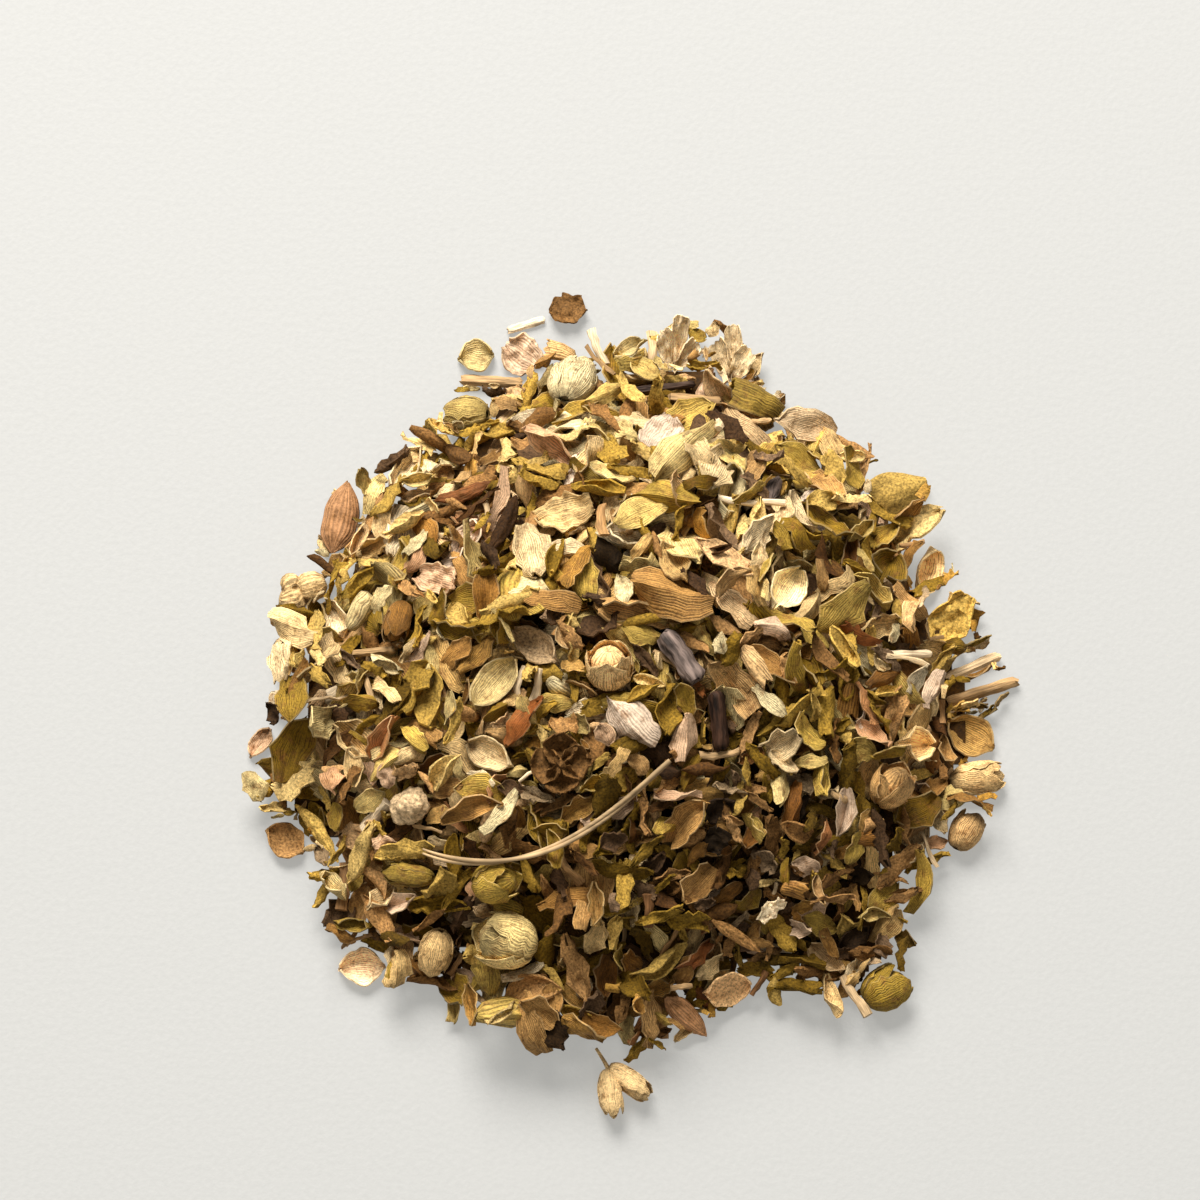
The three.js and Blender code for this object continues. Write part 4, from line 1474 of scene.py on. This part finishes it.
    def _open_calyx(self, name: str, length: float) -> Piece:
        """Models an open calyx seen into: four broad lobes round a nutlet.

        Args:
            name: The object's name.
            length: Its solid's length in millimetres.

        Returns:
            The object, face up.
        """
        lobe = leaf_outline(0.6, 0.55, 0.25, 8)
        parts = []
        for k in range(4):
            plan = SheetPlan(0.55 * length, 0.6 * length, lobe, lobe, 0.3, arch=75.0, torn=0.2)
            part = replace(plan, pucker=0.7, smooth=1, seed=k + 3).model("lobe")
            set_points(part, points_of(part) + (0.26 * length * MM, 0, 0.1 * MM))
            turned(part, (0, 0, math.radians(45 + 90 * k)))
            parts.append(part)
        nutlet = EggPlan(0.32 * length, 0.26 * length).model("nutlet")
        set_points(nutlet, points_of(nutlet) + (0, 0, 0.2 * MM))
        return joined([nutlet, *parts], name)


@dataclass
class SplitStalk:
    """The long pale stalk across the heap: two strands side by side.

    Attributes:
        node: Its solid.
        strand: Radius of a strand.
        apart: Half the distance between the strands.
        turns: How often they wind round each other.
    """

    node: str = "curved_stalk"
    strand: float = 0.18
    apart: float = 0.17
    turns: float = 0.8

    def centre_line(self, steps: int) -> np.ndarray:
        """Finds the middle of the solid along its length.

        Args:
            steps: How many places.

        Returns:
            The places from left to right, one row each.
        """
        points = points_of(frame["nodes"][self.node])
        low, high = points[:, 0].min(), points[:, 0].max()
        inset = 0.3 * MM
        x = np.linspace(low + inset, high - inset, steps)
        sides = [np.polyval(np.polyfit(points[:, 0] - low, points[:, k], 5), x - low) for k in (1, 2)]
        return np.stack([x, *sides], 1)

    def build(self, delivery: Delivery) -> Piece:
        """Models and delivers the stalk.

        Args:
            delivery: What dresses and delivers it.

        Returns:
            The stalk's object.
        """
        steps = 48
        line = self.centre_line(steps)
        strands = []
        for side in (-1, 1):
            curve = bpy.data.curves.new("strand", "CURVE")
            curve.dimensions = "3D"
            curve.bevel_depth = self.strand * MM
            curve.bevel_resolution = 2
            curve.use_fill_caps = True
            spline = curve.splines.new("POLY")
            spline.points.add(steps - 1)
            for k, place in enumerate(line):
                turn = math.tau * self.turns * k / steps
                away = side * self.apart * MM * np.array([0, math.cos(turn), math.sin(turn)])
                thin = 1 - 0.5 * max(0, 1 - k / 8) + 0.15 * (k > steps - 5)
                spline.points[k].co = (*(place + away), 1)
                spline.points[k].radius = thin
            strand = bpy.data.objects.new("strand", curve)
            bpy.context.scene.collection.objects.link(strand)
            strands.append(strand)
        fresh()
        for strand in strands:
            strand.select_set(True)
        bpy.context.view_layer.objects.active = strands[0]
        bpy.ops.object.convert(target="MESH")
        bpy.ops.object.join()
        stalk = bpy.context.object
        stalk.name = "curved_stalk_fine"
        while stalk.data.uv_layers:
            stalk.data.uv_layers.remove(stalk.data.uv_layers[0])
        wrap_skin(stalk)
        set_tint(stalk, 0.6, 0.82)
        delivery.hand_over(stalk, "straw_stem", self.node)
        return stalk


# The flakes of the heap


@dataclass(frozen=True)
class Kind:
    """A kind of flake in the heap.

    Attributes:
        group: The piece that its flakes are joined in.
        models: How many different ones are modelled.
        share: How common it is.
        make: The name of the method of FlakeMaker that plans one.
        flips: How often it lies face down.
        steep: Usual tilt off the slope.
        dusk: How much commoner it is where the heap is darkest.
    """

    group: str
    models: int
    share: float
    make: str
    flips: float = 0.5
    steep: float = 25.0
    dusk: float = 1.0


GROUPS = {
    "bracts_yellow_green": "green_bract",
    "bracts_straw": "straw_bract",
    "bracts_tan": "tan_bract",
    "leaf_flakes_olive": "olive_leaf",
    "leaf_flakes_brown": "brown_leaf",
    "leaf_flakes_dark": "dark_leaf",
    "sepal_flakes_rosy": "rosy_leaf",
    "small_buds": "green_bud",
    "stem_chips": "straw_stem",
    "crumbs": "heap",
}

KINDS = (
    Kind("bracts_yellow_green", 9, 12, "bract", dusk=0.5),
    Kind("bracts_yellow_green", 7, 9, "folded_bract", dusk=0.6),
    Kind("bracts_straw", 7, 8, "bract", dusk=0.2),
    Kind("bracts_straw", 6, 8, "folded_bract", dusk=0.3),
    Kind("bracts_tan", 6, 9, "bract"),
    Kind("bracts_tan", 4, 6, "folded_bract"),
    Kind("bracts_tan", 3, 1, "calyx"),
    Kind("leaf_flakes_olive", 9, 19, "shard", dusk=1.5),
    Kind("leaf_flakes_olive", 4, 5, "rolled"),
    Kind("leaf_flakes_brown", 6, 8, "shard", dusk=2.5),
    Kind("leaf_flakes_brown", 4, 4, "rolled", dusk=2.5),
    Kind("leaf_flakes_dark", 5, 4, "shard", dusk=6.0),
    Kind("sepal_flakes_rosy", 5, 2, "folded_bract"),
    Kind("sepal_flakes_rosy", 4, 2, "shard"),
    Kind("small_buds", 4, 1, "small_bud", steep=30.0),
    Kind("stem_chips", 5, 4, "chip", steep=12.0),
)

CRUMBS = (
    Kind("crumbs", 10, 6, "crumb", steep=35.0),
    Kind("bracts_yellow_green", 5, 3, "sliver", steep=35.0),
    Kind("bracts_straw", 5, 3, "sliver", steep=35.0),
    Kind("bracts_tan", 4, 2, "sliver", steep=35.0),
)


@dataclass
class FlakeMaker:
    """Models the flakes that the heap is laid of, a few of each kind.

    Attributes:
        seed: For all that it draws.
        rows: Rows of faces on a flake from root to tip.
        columns: Strips across a flake.
        rng: Its seeded generator.
    """

    seed: int
    rows: int = 7
    columns: int = 6
    rng: np.random.Generator = field(init=False)

    def __post_init__(self) -> None:
        """Starts the generator."""
        self.rng = np.random.default_rng(self.seed)

    def between(self, low: float, high: float) -> float:
        """A random value between two others."""
        return float(low + (high - low) * self.rng.random())

    def whole(self) -> int:
        """A random seed for a modifier."""
        return int(self.rng.integers(1, 5000))

    def egg(self, root: float, rough: float) -> tuple[Outline, Outline]:
        """Draws an egg-shaped outline, each side nicked by itself.

        Args:
            root: Half width at its root, as a share.
            rough: The deepest nick, as a share.

        Returns:
            The half widths on the left and on the right.
        """
        whole = leaf_outline(
            self.between(0.35, 0.6), root, self.between(0.03, 0.15), self.rows, self.between(0.55, 1.1)
        )
        left, right = (tuple(share * self.between(1 - rough, 1) for share in whole) for _ in range(2))
        return left, right

    def _sheet(self, length: float, width: float, sides: tuple[Outline, Outline], **sizes) -> Flake:
        """Models a sheet and takes it as a flake.

        Args:
            length: Root to tip.
            width: Across its widest place.
            sides: Its half widths on the left and on the right.
            **sizes: Other fields of its plan. A pair is a range that the value is drawn from, in this order.

        Returns:
            The flake.
        """
        drawn = {"columns": self.columns}
        for name, size in sizes.items():
            drawn[name] = self.between(*size) if isinstance(size, tuple) else size
        plan = SheetPlan(length, width, *sides, **drawn, seed=self.whole())
        return Flake.taken(plan.model("flake"), plan.faces())

    def bract(self) -> Flake:
        """An open bract, cupped and fanned."""
        length = self.between(3.1, 5.0)
        width = length * self.between(0.5, 0.8)
        sides = self.egg(self.between(0.2, 0.6), 0.32)
        shape = {"cup": (-0.2, 0.75), "keel": (0.0, 0.6), "flute": 0.04, "arch": (-15, 65)}
        wear = {"twist": (-30, 30), "torn": 0.2, "pucker": (0.35, 0.9), "crease": (0.2, 0.6)}
        return self._sheet(length, width, sides, **shape, **wear)

    def folded_bract(self) -> Flake:
        """A bract folded along its middle, like a boat."""
        length = self.between(3.2, 5.4)
        width = length * self.between(0.36, 0.62)
        sides = self.egg(self.between(0.2, 0.5), 0.3)
        shape = {"cup": (0.5, 1.4), "keel": (0.6, 1.0), "arch": (-20, 70), "twist": (-45, 45)}
        return self._sheet(length, width, sides, **shape, torn=0.2, pucker=(0.25, 0.7), crease=(0.2, 0.55))

    def shard(self) -> Flake:
        """A torn piece of leaf, puckered and twisted."""
        length = self.between(2.6, 5.2)
        width = self.between(1.1, 3.2)
        sides = self.egg(self.between(0.3, 0.7), 0.4)
        shape = {"cup": (-0.5, 0.6), "keel": (0, 1), "arch": (-50, 60), "twist": (-60, 60), "torn": 0.28}
        return self._sheet(length, width, sides, **shape, pucker=(0.6, 1.2), crease=(0.4, 0.9), wall=0.14)

    def rolled(self) -> Flake:
        """A narrow leaf rolled up on itself."""
        length = self.between(3.2, 5.2)
        width = self.between(2.2, 3.4)
        sides = self.egg(0.3, 0.1)
        shape = {"cup": 0.0, "arch": (-40, 60), "roll": (190, 320), "taper": 0.8, "twist": (-60, 60)}
        return self._sheet(length, width, sides, **shape, pucker=0.3, crease=0.3, wall=0.15)

    def calyx(self) -> Flake:
        """An open calyx cup with a toothed mouth."""
        width = self.between(0.55, 0.85)
        rings = ((0.0, 0.3 * width), (0.3, 0.8 * width), (1.2, width), (2.1, 1.02 * width))
        plan = TubePlan(
            rings, 10, self.between(0.6, 0.95), wander=0.2, wall=0.1, teeth=0.45, seed=self.whole()
        )
        return Flake.taken(plan.model("calyx"))

    def small_bud(self) -> Flake:
        """A closed bud."""
        return Flake.taken(EggPlan(self.between(2.4, 3.8), self.between(1.9, 2.9)).model("bud"))

    def chip(self) -> Flake:
        """A chip of split stem."""
        length, radius = self.between(1.8, 4.2), self.between(0.22, 0.5)
        rings = tuple((length * k / 6, radius * self.between(0.75, 1.1)) for k in range(7))
        plan = TubePlan(rings, 7, self.between(0.4, 1.0), 0.12, 0.25, seed=self.whole())
        return Flake.taken(plan.model("chip"))

    def crumb(self) -> Flake:
        """A crumb of leaf."""
        left, right = (tuple(0.5 + 0.5 * self.rng.random(4)) for _ in range(2))
        size = self.between(1.1, 2.4)
        width = size * self.between(0.5, 0.9)
        shape = {"cup": (-0.2, 0.4), "arch": (-30, 60), "torn": 0.15, "pucker": 0.3, "wall": 0.14}
        return self._sheet(size, width, (left, right), **shape, columns=4)

    def sliver(self) -> Flake:
        """A narrow splinter of bract."""
        outline = leaf_outline(0.4, 0.2, 0.1, 5)
        length = self.between(1.6, 3.2)
        width = self.between(0.6, 1.2)
        shape = {"cup": (0.1, 0.35), "keel": 0.6, "arch": (-20, 70), "twist": (-40, 40), "pucker": 0.1}
        return self._sheet(length, width, (outline, outline), **shape, columns=2)


def blurred(grid: np.ndarray, radius: float) -> np.ndarray:
    """Smooths a grid by a bell.

    Args:
        grid: The values.
        radius: Of the bell, in cells.

    Returns:
        The smoothed values.
    """
    reach = np.arange(-int(3 * radius) - 1, int(3 * radius) + 2)
    bell = np.exp(-0.5 * (reach / radius) ** 2)
    bell /= bell.sum()
    for axis in (0, 1):
        padded = np.pad(grid, [(len(reach) // 2,) * 2 if k == axis else (0, 0) for k in (0, 1)], mode="edge")
        grid = np.apply_along_axis(lambda line: np.convolve(line, bell, mode="valid"), axis, padded)
    return grid


def lowest_near(grid: np.ndarray, cells: int) -> np.ndarray:
    """Spreads each low value to the cells round it.

    Args:
        grid: The values.
        cells: How many cells away a value reaches.

    Returns:
        The lowest value near each cell.
    """
    for axis in (0, 1):
        grid = np.min([np.roll(grid, step, axis) for step in range(-cells, cells + 1)], axis=0)
    return grid


@dataclass
class Bed:
    """Heights of what lies on the surface, in metres, over a grid of square cells.

    Attributes:
        cell: Side of a cell.
        margin: Room round the solids.
    """

    cell: float = 0.5 * MM
    margin: float = 2.0 * MM
    low: np.ndarray = field(init=False)
    shape: tuple[int, int] = field(init=False)

    def __post_init__(self) -> None:
        """Lays out the grid over the solids' box."""
        low, high = CAD_BOX
        self.low = low[:2] - self.margin
        spans = (high[:2] - low[:2] + 2 * self.margin) / self.cell
        self.shape = (math.ceil(spans[1]), math.ceil(spans[0]))

    def cells(self, points: np.ndarray) -> tuple[np.ndarray, np.ndarray]:
        """Finds the cells under points.

        Args:
            points: Places in metres, one row each.

        Returns:
            The row and the column of each one's cell.
        """
        at = ((points[:, :2] - self.low) / self.cell).astype(int)
        return at[:, 1].clip(0, self.shape[0] - 1), at[:, 0].clip(0, self.shape[1] - 1)

    def heights_of(self, pieces: list[Piece], under: bool = False) -> np.ndarray:
        """Looks straight down, or up, on pieces.

        Args:
            pieces: Mesh objects at the origin.
            under: Looks up at their undersides, and gives infinity where there are none.

        Returns:
            The height of what is met over each cell.
        """
        points, faces, start = [], [], 0
        for piece in pieces:
            places = points_of(piece)
            points.extend(map(tuple, places))
            faces.extend(tuple(start + k for k in face.vertices) for face in piece.data.polygons)
            start += len(places)
        tree = BVHTree.FromPolygons(points, faces)
        sky = -0.01 if under else 0.1
        way = Vector((0, 0, 1 if under else -1))
        found = np.full(self.shape, np.inf if under else 0.0)
        for row in range(self.shape[0]):
            for column in range(self.shape[1]):
                x, y = self.low + (np.array([column, row]) + 0.5) * self.cell
                hit = tree.ray_cast((x, y, sky), way)[0]
                if hit is not None:
                    found[row, column] = hit.z
        return found


STRAYS = ("stray_brown_flake", "stray_tan_wedge", "white_splinter", "twin_bud", "brown_disc", "green_round")


@dataclass
class FlakeHeap:
    """The mass of the heap, laid flake by flake on an inner mass painted dark as shade.

    Attributes:
        delivery: What dresses and delivers the pieces.
        told_apart: The pieces that stay uncovered.
        depth: How far the flakes stand over the solids' packed mass.
        inner: How far the inner mass stays under it.
        skirt: Thickness of the crumbs under the flakes at the rim.
        big: Flakes at most.
        small: Crumbs at most.
        choices: Places that are weighed for each flake.
        least: A place that lacks less than this is full.
        rest: Share of a flake's vertices that clear what lies there.
        dusk: The middle of where the darkest flakes lie and where painted shade darkens them further, in
            metres.
        dusk_reach: How far that spreads to the side and away.
    """

    delivery: Delivery
    told_apart: list[Piece]
    depth: float = 1.7 * MM
    inner: float = 2.4 * MM
    skirt: float = 0.5 * MM
    big: int = 2300
    small: int = 2200
    choices: int = 12
    least: float = 0.15 * MM
    rest: float = 0.78
    dusk: tuple[float, float] = (0.0095, -0.0165)
    dusk_reach: tuple[float, float] = (0.0105, 0.007)

    def __post_init__(self) -> None:
        """Surveys the solids and the pieces already laid."""
        self.rng = np.random.default_rng(SEED)
        self.bed = Bed()
        solid = self.bed.heights_of([frame["nodes"]["flake_heap"]])
        self.packed = blurred(lowest_near(solid, 3), 3)
        near = [piece for piece in self.told_apart if piece.name.removesuffix("_fine") not in STRAYS]
        cover = ((solid > 0) | (self.bed.heights_of(near) > 0)).astype(float)
        closed = lowest_near(-lowest_near(-cover, 5), 5)
        self.reach = blurred(closed, 1.5) > 0.45
        self.room = blurred(closed, 2.5) > 0.15
        self.cover = self.bed.heights_of(self.told_apart, under=True) - 0.05 * MM
        self.slope = np.gradient(blurred(self.packed, 5), self.bed.cell)
        self.groups = {name: FlakeGroup(name, slot) for name, slot in GROUPS.items()}

    def build(self) -> list[Piece]:
        """Lays the heap and delivers it.

        Returns:
            The pieces.
        """
        inner = self._inner_mass()
        self.heights = self.bed.heights_of([inner])
        target = self.packed + self.depth * blurred(self.reach.astype(float), 2)
        self._lay(KINDS, self.big, target)
        self._lay(CRUMBS, self.small, target)
        made = [inner]
        for group in self.groups.values():
            piece = group.build()
            self.delivery.hand_over(piece, group.slot, "flake_heap", angle=60.0)
            made.append(piece)
        return made

    def _inner_mass(self) -> Piece:
        """Models the mass of crumbs under the flakes, painted dark as the shade deep in the heap: a draped
        grid, closed below.

        Returns:
            The object, delivered.
        """
        fresh()
        rows, columns = (count // 2 for count in self.bed.shape)
        bpy.ops.mesh.primitive_grid_add(x_subdivisions=columns, y_subdivisions=rows, size=1, calc_uvs=False)
        inner = bpy.context.object
        inner.name = "inner_mass"
        points = points_of(inner) + 0.5
        points[:, :2] = self.bed.low + points[:, :2] * (2 * self.bed.cell * np.array([columns, rows]))
        rough = self.rng.normal(0, 0.15 * MM, len(points))
        inside = blurred(lowest_near(self.reach.astype(float), 4), 1) > 0.6
        thick = np.maximum(self.packed - self.inner, self.skirt * inside)
        points[:, 2] = thick[self.bed.cells(points)] + rough
        set_points(inner, points)
        pick(inner, thick[self.bed.cells(points)] < 0.2 * MM)
        bpy.ops.mesh.delete(type="VERT")
        bpy.ops.mesh.select_all(action="SELECT")
        bpy.ops.mesh.extrude_region_move(TRANSFORM_OT_translate={"value": (0, 0, 0)})
        bpy.ops.mesh.select_all(action="INVERT")
        bpy.ops.transform.resize(value=(1, 1, 0), center_override=(0, 0, 0.03 * MM))
        bpy.ops.mesh.select_all(action="SELECT")
        bpy.ops.mesh.normals_make_consistent(inside=False)
        bpy.ops.object.mode_set(mode="OBJECT")
        wrap_skin(inner)
        # Painted shade: the inner mass takes the heap's darkest tint and a low brightness, for the shade
        # between the flakes
        set_tint(inner, 0.1, 0.7)
        self.delivery.hand_over(inner, "heap", "flake_heap")
        return inner

    def _lay(self, kinds: tuple[Kind, ...], most: int, target: np.ndarray) -> None:
        """Drops flakes where the heap lacks most, until it is full.

        Args:
            kinds: The kinds of flake, with their shares.
            most: How many flakes at most.
            target: The height to reach over each cell.
        """
        maker = FlakeMaker(SEED + len(kinds))
        models = [[getattr(maker, kind.make)() for _ in range(kind.models)] for kind in kinds]
        shares = np.array([[kind.share, kind.share * kind.dusk] for kind in kinds])
        shares /= shares.sum(0)
        goal = np.minimum(target, self.cover) * self.reach
        rows, columns = np.nonzero(self.reach)
        laid = missed = 0
        while laid < most and missed < 400:
            some = self.rng.integers(0, len(rows), self.choices)
            lacks = goal[rows[some], columns[some]] - self.heights[rows[some], columns[some]]
            best = some[np.argmax(lacks)]
            if lacks.max() < self.least:
                missed += 1
                continue
            place = self.bed.low + np.array([columns[best], rows[best]]) * self.bed.cell
            dusky = self.rng.random() < self._dusk_at(place)
            number = self.rng.choice(len(kinds), p=shares[:, int(dusky)])
            if self._drop(kinds[number], models[number], rows[best], columns[best]):
                laid, missed = laid + 1, 0
            else:
                missed += 1
        LOG.info("%d flakes of %d kinds laid", laid, len(kinds))

    def _drop(self, kind: Kind, models: list[Flake], row: int, column: int) -> bool:
        """Drops one flake on a cell, in a few ways if need be.

        Args:
            kind: Its kind.
            models: The flakes modelled of that kind.
            row: The cell's row.
            column: The cell's column.

        Returns:
            Whether it found a place to rest.
        """
        place = self.bed.low + (np.array([column, row]) + self.rng.random(2)) * self.bed.cell
        low, high = CAD_BOX
        dusk = self._dusk_at(place)
        for _ in range(4):
            flake = models[self.rng.integers(len(models))]
            points = self._varied(flake.points * (1 - 0.35 * dusk)) @ self._pose(kind, row, column).T
            points[:, :2] += place
            probes = flake.probes(points)
            at = self.bed.cells(probes)
            settled = np.quantile(self.heights[at] - probes[:, 2], self.rest)
            lift = max(settled, 0.01 * MM - points[:, 2].min())
            points[:, 2] += lift
            probes[:, 2] += lift
            inside = (points > low + 0.05 * MM).all() and (points < high - 0.05 * MM).all()
            if not inside or (probes[:, 2] > self.cover[at]).any() or self.room[at].mean() < 0.93:
                continue
            np.maximum.at(self.heights, at, probes[:, 2])
            # Painted light: flakes grow paler and a little brighter towards the far left, the side that the
            # soft box lights
            pale = np.clip((place[1] - 0.3 * place[0]) / (30 * MM), -1, 1)
            tint = float(np.clip(self.rng.normal(0.5 + 0.14 * pale, 0.26), 0, 0.95))
            shade = float(np.clip(self.rng.normal(1.06 + 0.04 * pale, 0.13), 0.7, 1.22))
            # Painted shade: a flake is darker the deeper it lies, down to 0.55 at the inner mass
            sunk = (points[:, 2].mean() - self.packed[row, column] + self.inner) / (self.inner + self.depth)
            shade *= 0.55 + 0.45 * float(np.clip(sunk, 0, 1))
            # Painted shade: flakes in the heap's darkest part, low on the right, are made darker still
            shade *= 1 - 0.14 * dusk
            self.groups[kind.group].lay(flake, points, tint, shade)
            return True
        return False

    def _dusk_at(self, place: np.ndarray) -> float:
        """How far a place belongs to the darkest part of the heap, from 0 to 1."""
        return math.exp(-0.5 * float((((place - self.dusk) / self.dusk_reach) ** 2).sum()))

    def _varied(self, points: np.ndarray) -> np.ndarray:
        """Bends, twists and crumples a copy a little, so that no two are alike.

        Args:
            points: The flake's vertices about its middle.

        Returns:
            The copy's vertices.
        """
        scale = np.clip(np.exp(self.rng.normal(-0.1, 0.26)), 0.5, 1.35) * self.rng.uniform(0.88, 1.12, 3)
        x, y, z = (points * scale).T
        span = np.abs(x).max()
        waves = self.rng.uniform(-1, 1, 6)
        ripple = np.sin(4 * x / span + 9 * waves[1]) * np.cos(5 * y / span + 9 * waves[2])
        fine = np.sin(9 * x / span + 9 * waves[5]) * np.cos(11 * y / span + 9 * waves[1])
        z = z + span * (0.18 * waves[0] * (x / span) ** 2 + 0.09 * ripple + 0.04 * fine)
        y = y + 0.18 * span * waves[3] * (x / span) ** 2
        turn = 0.35 * waves[4] * x / span
        return np.stack([x, y * np.cos(turn) - z * np.sin(turn), y * np.sin(turn) + z * np.cos(turn)], 1)

    def _pose(self, kind: Kind, row: int, column: int) -> np.ndarray:
        """Turns a flake so that it lies along the slope, tilted and headed at random.

        Args:
            kind: Its kind.
            row: The cell's row.
            column: The cell's column.

        Returns:
            The turn as a matrix.
        """
        up = np.array([-self.slope[1][row, column], -self.slope[0][row, column], 1.0])
        tilt = math.radians(kind.steep) * self.rng.normal(0, 1, 2)
        if self.rng.random() < 0.25:
            tilt *= 2.0
        up[:2] += np.tan(tilt.clip(-1.2, 1.2))
        up /= np.linalg.norm(up)
        heading = self.rng.random() * math.tau
        along = np.array([math.cos(heading), math.sin(heading), 0.0])
        along -= up * (along @ up)
        along /= np.linalg.norm(along)
        if self.rng.random() < kind.flips:
            up = -up
        return np.stack([along, np.cross(up, along), up], 1)


# The surroundings


@dataclass(frozen=True)
class PaleBoard:
    """The plain pale surface that the heap lies on: a board that glows of itself, painted light that fills
    shadows as a milky board would.

    Attributes:
        side: Its side in metres.
        colour: Hex colour of what it throws back.
        glow: Hex colour of the light that comes out of it.
        strength: How much light comes out.
    """

    side: float = 1.2
    colour: str = "#838484"
    glow: str = "#fafaf5"
    strength: float = 0.36

    def build(self) -> None:
        """Makes the board."""
        fresh()
        bpy.ops.mesh.primitive_plane_add(size=self.side, location=(0, 0, -0.02 * MM))
        board = bpy.context.object
        board.name = "pale_board"
        bpy.ops.object.transform_apply()
        made = bpy.data.materials.new("pale board")
        made.use_nodes = True
        tree = made.node_tree
        tree.nodes.clear()
        place = add(tree, "TexCoord").outputs["Object"]
        grain = add(tree, "TexNoise", links={"Vector": place, "Scale": 2.2 / MM, "Detail": 3.0})
        tone = add(tree, "MapRange", links={0: grain.outputs["Fac"], 1: 0.3, 2: 0.7, 3: 0.96, 4: 1.03})
        colour = add(
            tree, "VectorMath", SCALE, {0: linear(self.colour)[:3], "Scale": tone.outputs[0]}
        )
        relief = {"Height": grain.outputs["Fac"], "Distance": 0.05 * MM, "Strength": 0.6}
        bump = add(tree, "Bump", links=relief)
        shader = add(
            tree,
            "BsdfPrincipled",
            links={
                "Base Color": colour.outputs[0],
                "Normal": bump.outputs["Normal"],
                "Roughness": 0.6,
                "Specular IOR Level": 0.2,
                # Painted light: the board glows of itself, so that shadows on it stay pale
                "Emission Color": linear(self.glow),
                "Emission Strength": self.strength,
            },
        )
        add(tree, "OutputMaterial", links={"Surface": shader.outputs["BSDF"]})
        board.data.materials.append(made)


@dataclass(frozen=True)
class StudioLight:
    """Soft light from the far left, as from a window, with a pale fill all round.

    Attributes:
        place: Where the soft box hangs, in metres.
        side: Its side in metres.
        power: In watts.
        fill: Strength of the light from all round.
    """

    place: tuple[float, float, float] = (-0.12, 0.49, 0.53)
    side: float = 0.4
    power: float = 12.6
    fill: float = 0.38

    def build(self) -> None:
        """Hangs the soft box and lights the surroundings."""
        lamp = bpy.data.lights.new("soft_box", "AREA")
        lamp.energy = self.power
        lamp.size = self.side
        lamp.color = linear("#fffaf3")[:3]
        box = bpy.data.objects.new("soft_box", lamp)
        box.location = self.place
        box.rotation_euler = (-Vector(self.place)).to_track_quat("-Z", "Y").to_euler()
        bpy.context.scene.collection.objects.link(box)
        world = bpy.data.worlds.new("pale room")
        world.use_nodes = True
        background = world.node_tree.nodes["Background"]
        background.inputs["Color"].default_value = linear("#fcf5ea")
        background.inputs["Strength"].default_value = self.fill
        bpy.context.scene.world = world
        bpy.context.scene.view_settings.view_transform = "Standard"


@dataclass(frozen=True)
class OverheadCamera:
    """The camera, nearly overhead.

    Attributes:
        aim: Where its line of sight meets the board, in metres.
        elevation: Above the horizon.
        width: What the frame spans at the heap.
        lens: Focal length.
        sensor: Width of its sensor.
    """

    aim: tuple[float, float, float] = (-2.2 * MM, 8.3 * MM, 0.0)
    elevation: float = 75.0
    width: float = 96.0
    lens: float = 180.0
    sensor: float = 36.0

    def build(self) -> None:
        """Places the camera and makes it the scene's own."""
        camera = bpy.data.cameras.new("overhead")
        camera.lens = self.lens
        camera.sensor_width = self.sensor
        camera.clip_start = 0.01
        tilt = math.radians(self.elevation)
        away = Vector((0, -math.cos(tilt), math.sin(tilt)))
        distance = (self.width * self.lens / self.sensor + 7.0) * MM
        holder = bpy.data.objects.new("overhead", camera)
        holder.location = Vector(self.aim) + away * distance
        holder.rotation_euler = (-away).to_track_quat("-Z", "Y").to_euler()
        bpy.context.scene.collection.objects.link(holder)
        bpy.context.scene.camera = holder


def main() -> None:
    """Builds the surroundings, the pieces that can be told apart and the heap, in that order."""
    logging.basicConfig(level=logging.INFO, format="%(name)s %(message)s")
    PaleBoard().build()
    StudioLight().build()
    OverheadCamera().build()
    delivery = Delivery()
    told_apart = ToldApart(delivery).build()
    told_apart.append(SplitStalk().build(delivery))
    heap = FlakeHeap(delivery, told_apart).build()
    LOG.info("%d pieces in all", len(told_apart) + len(heap))


if __name__ == "__main__":
    main()
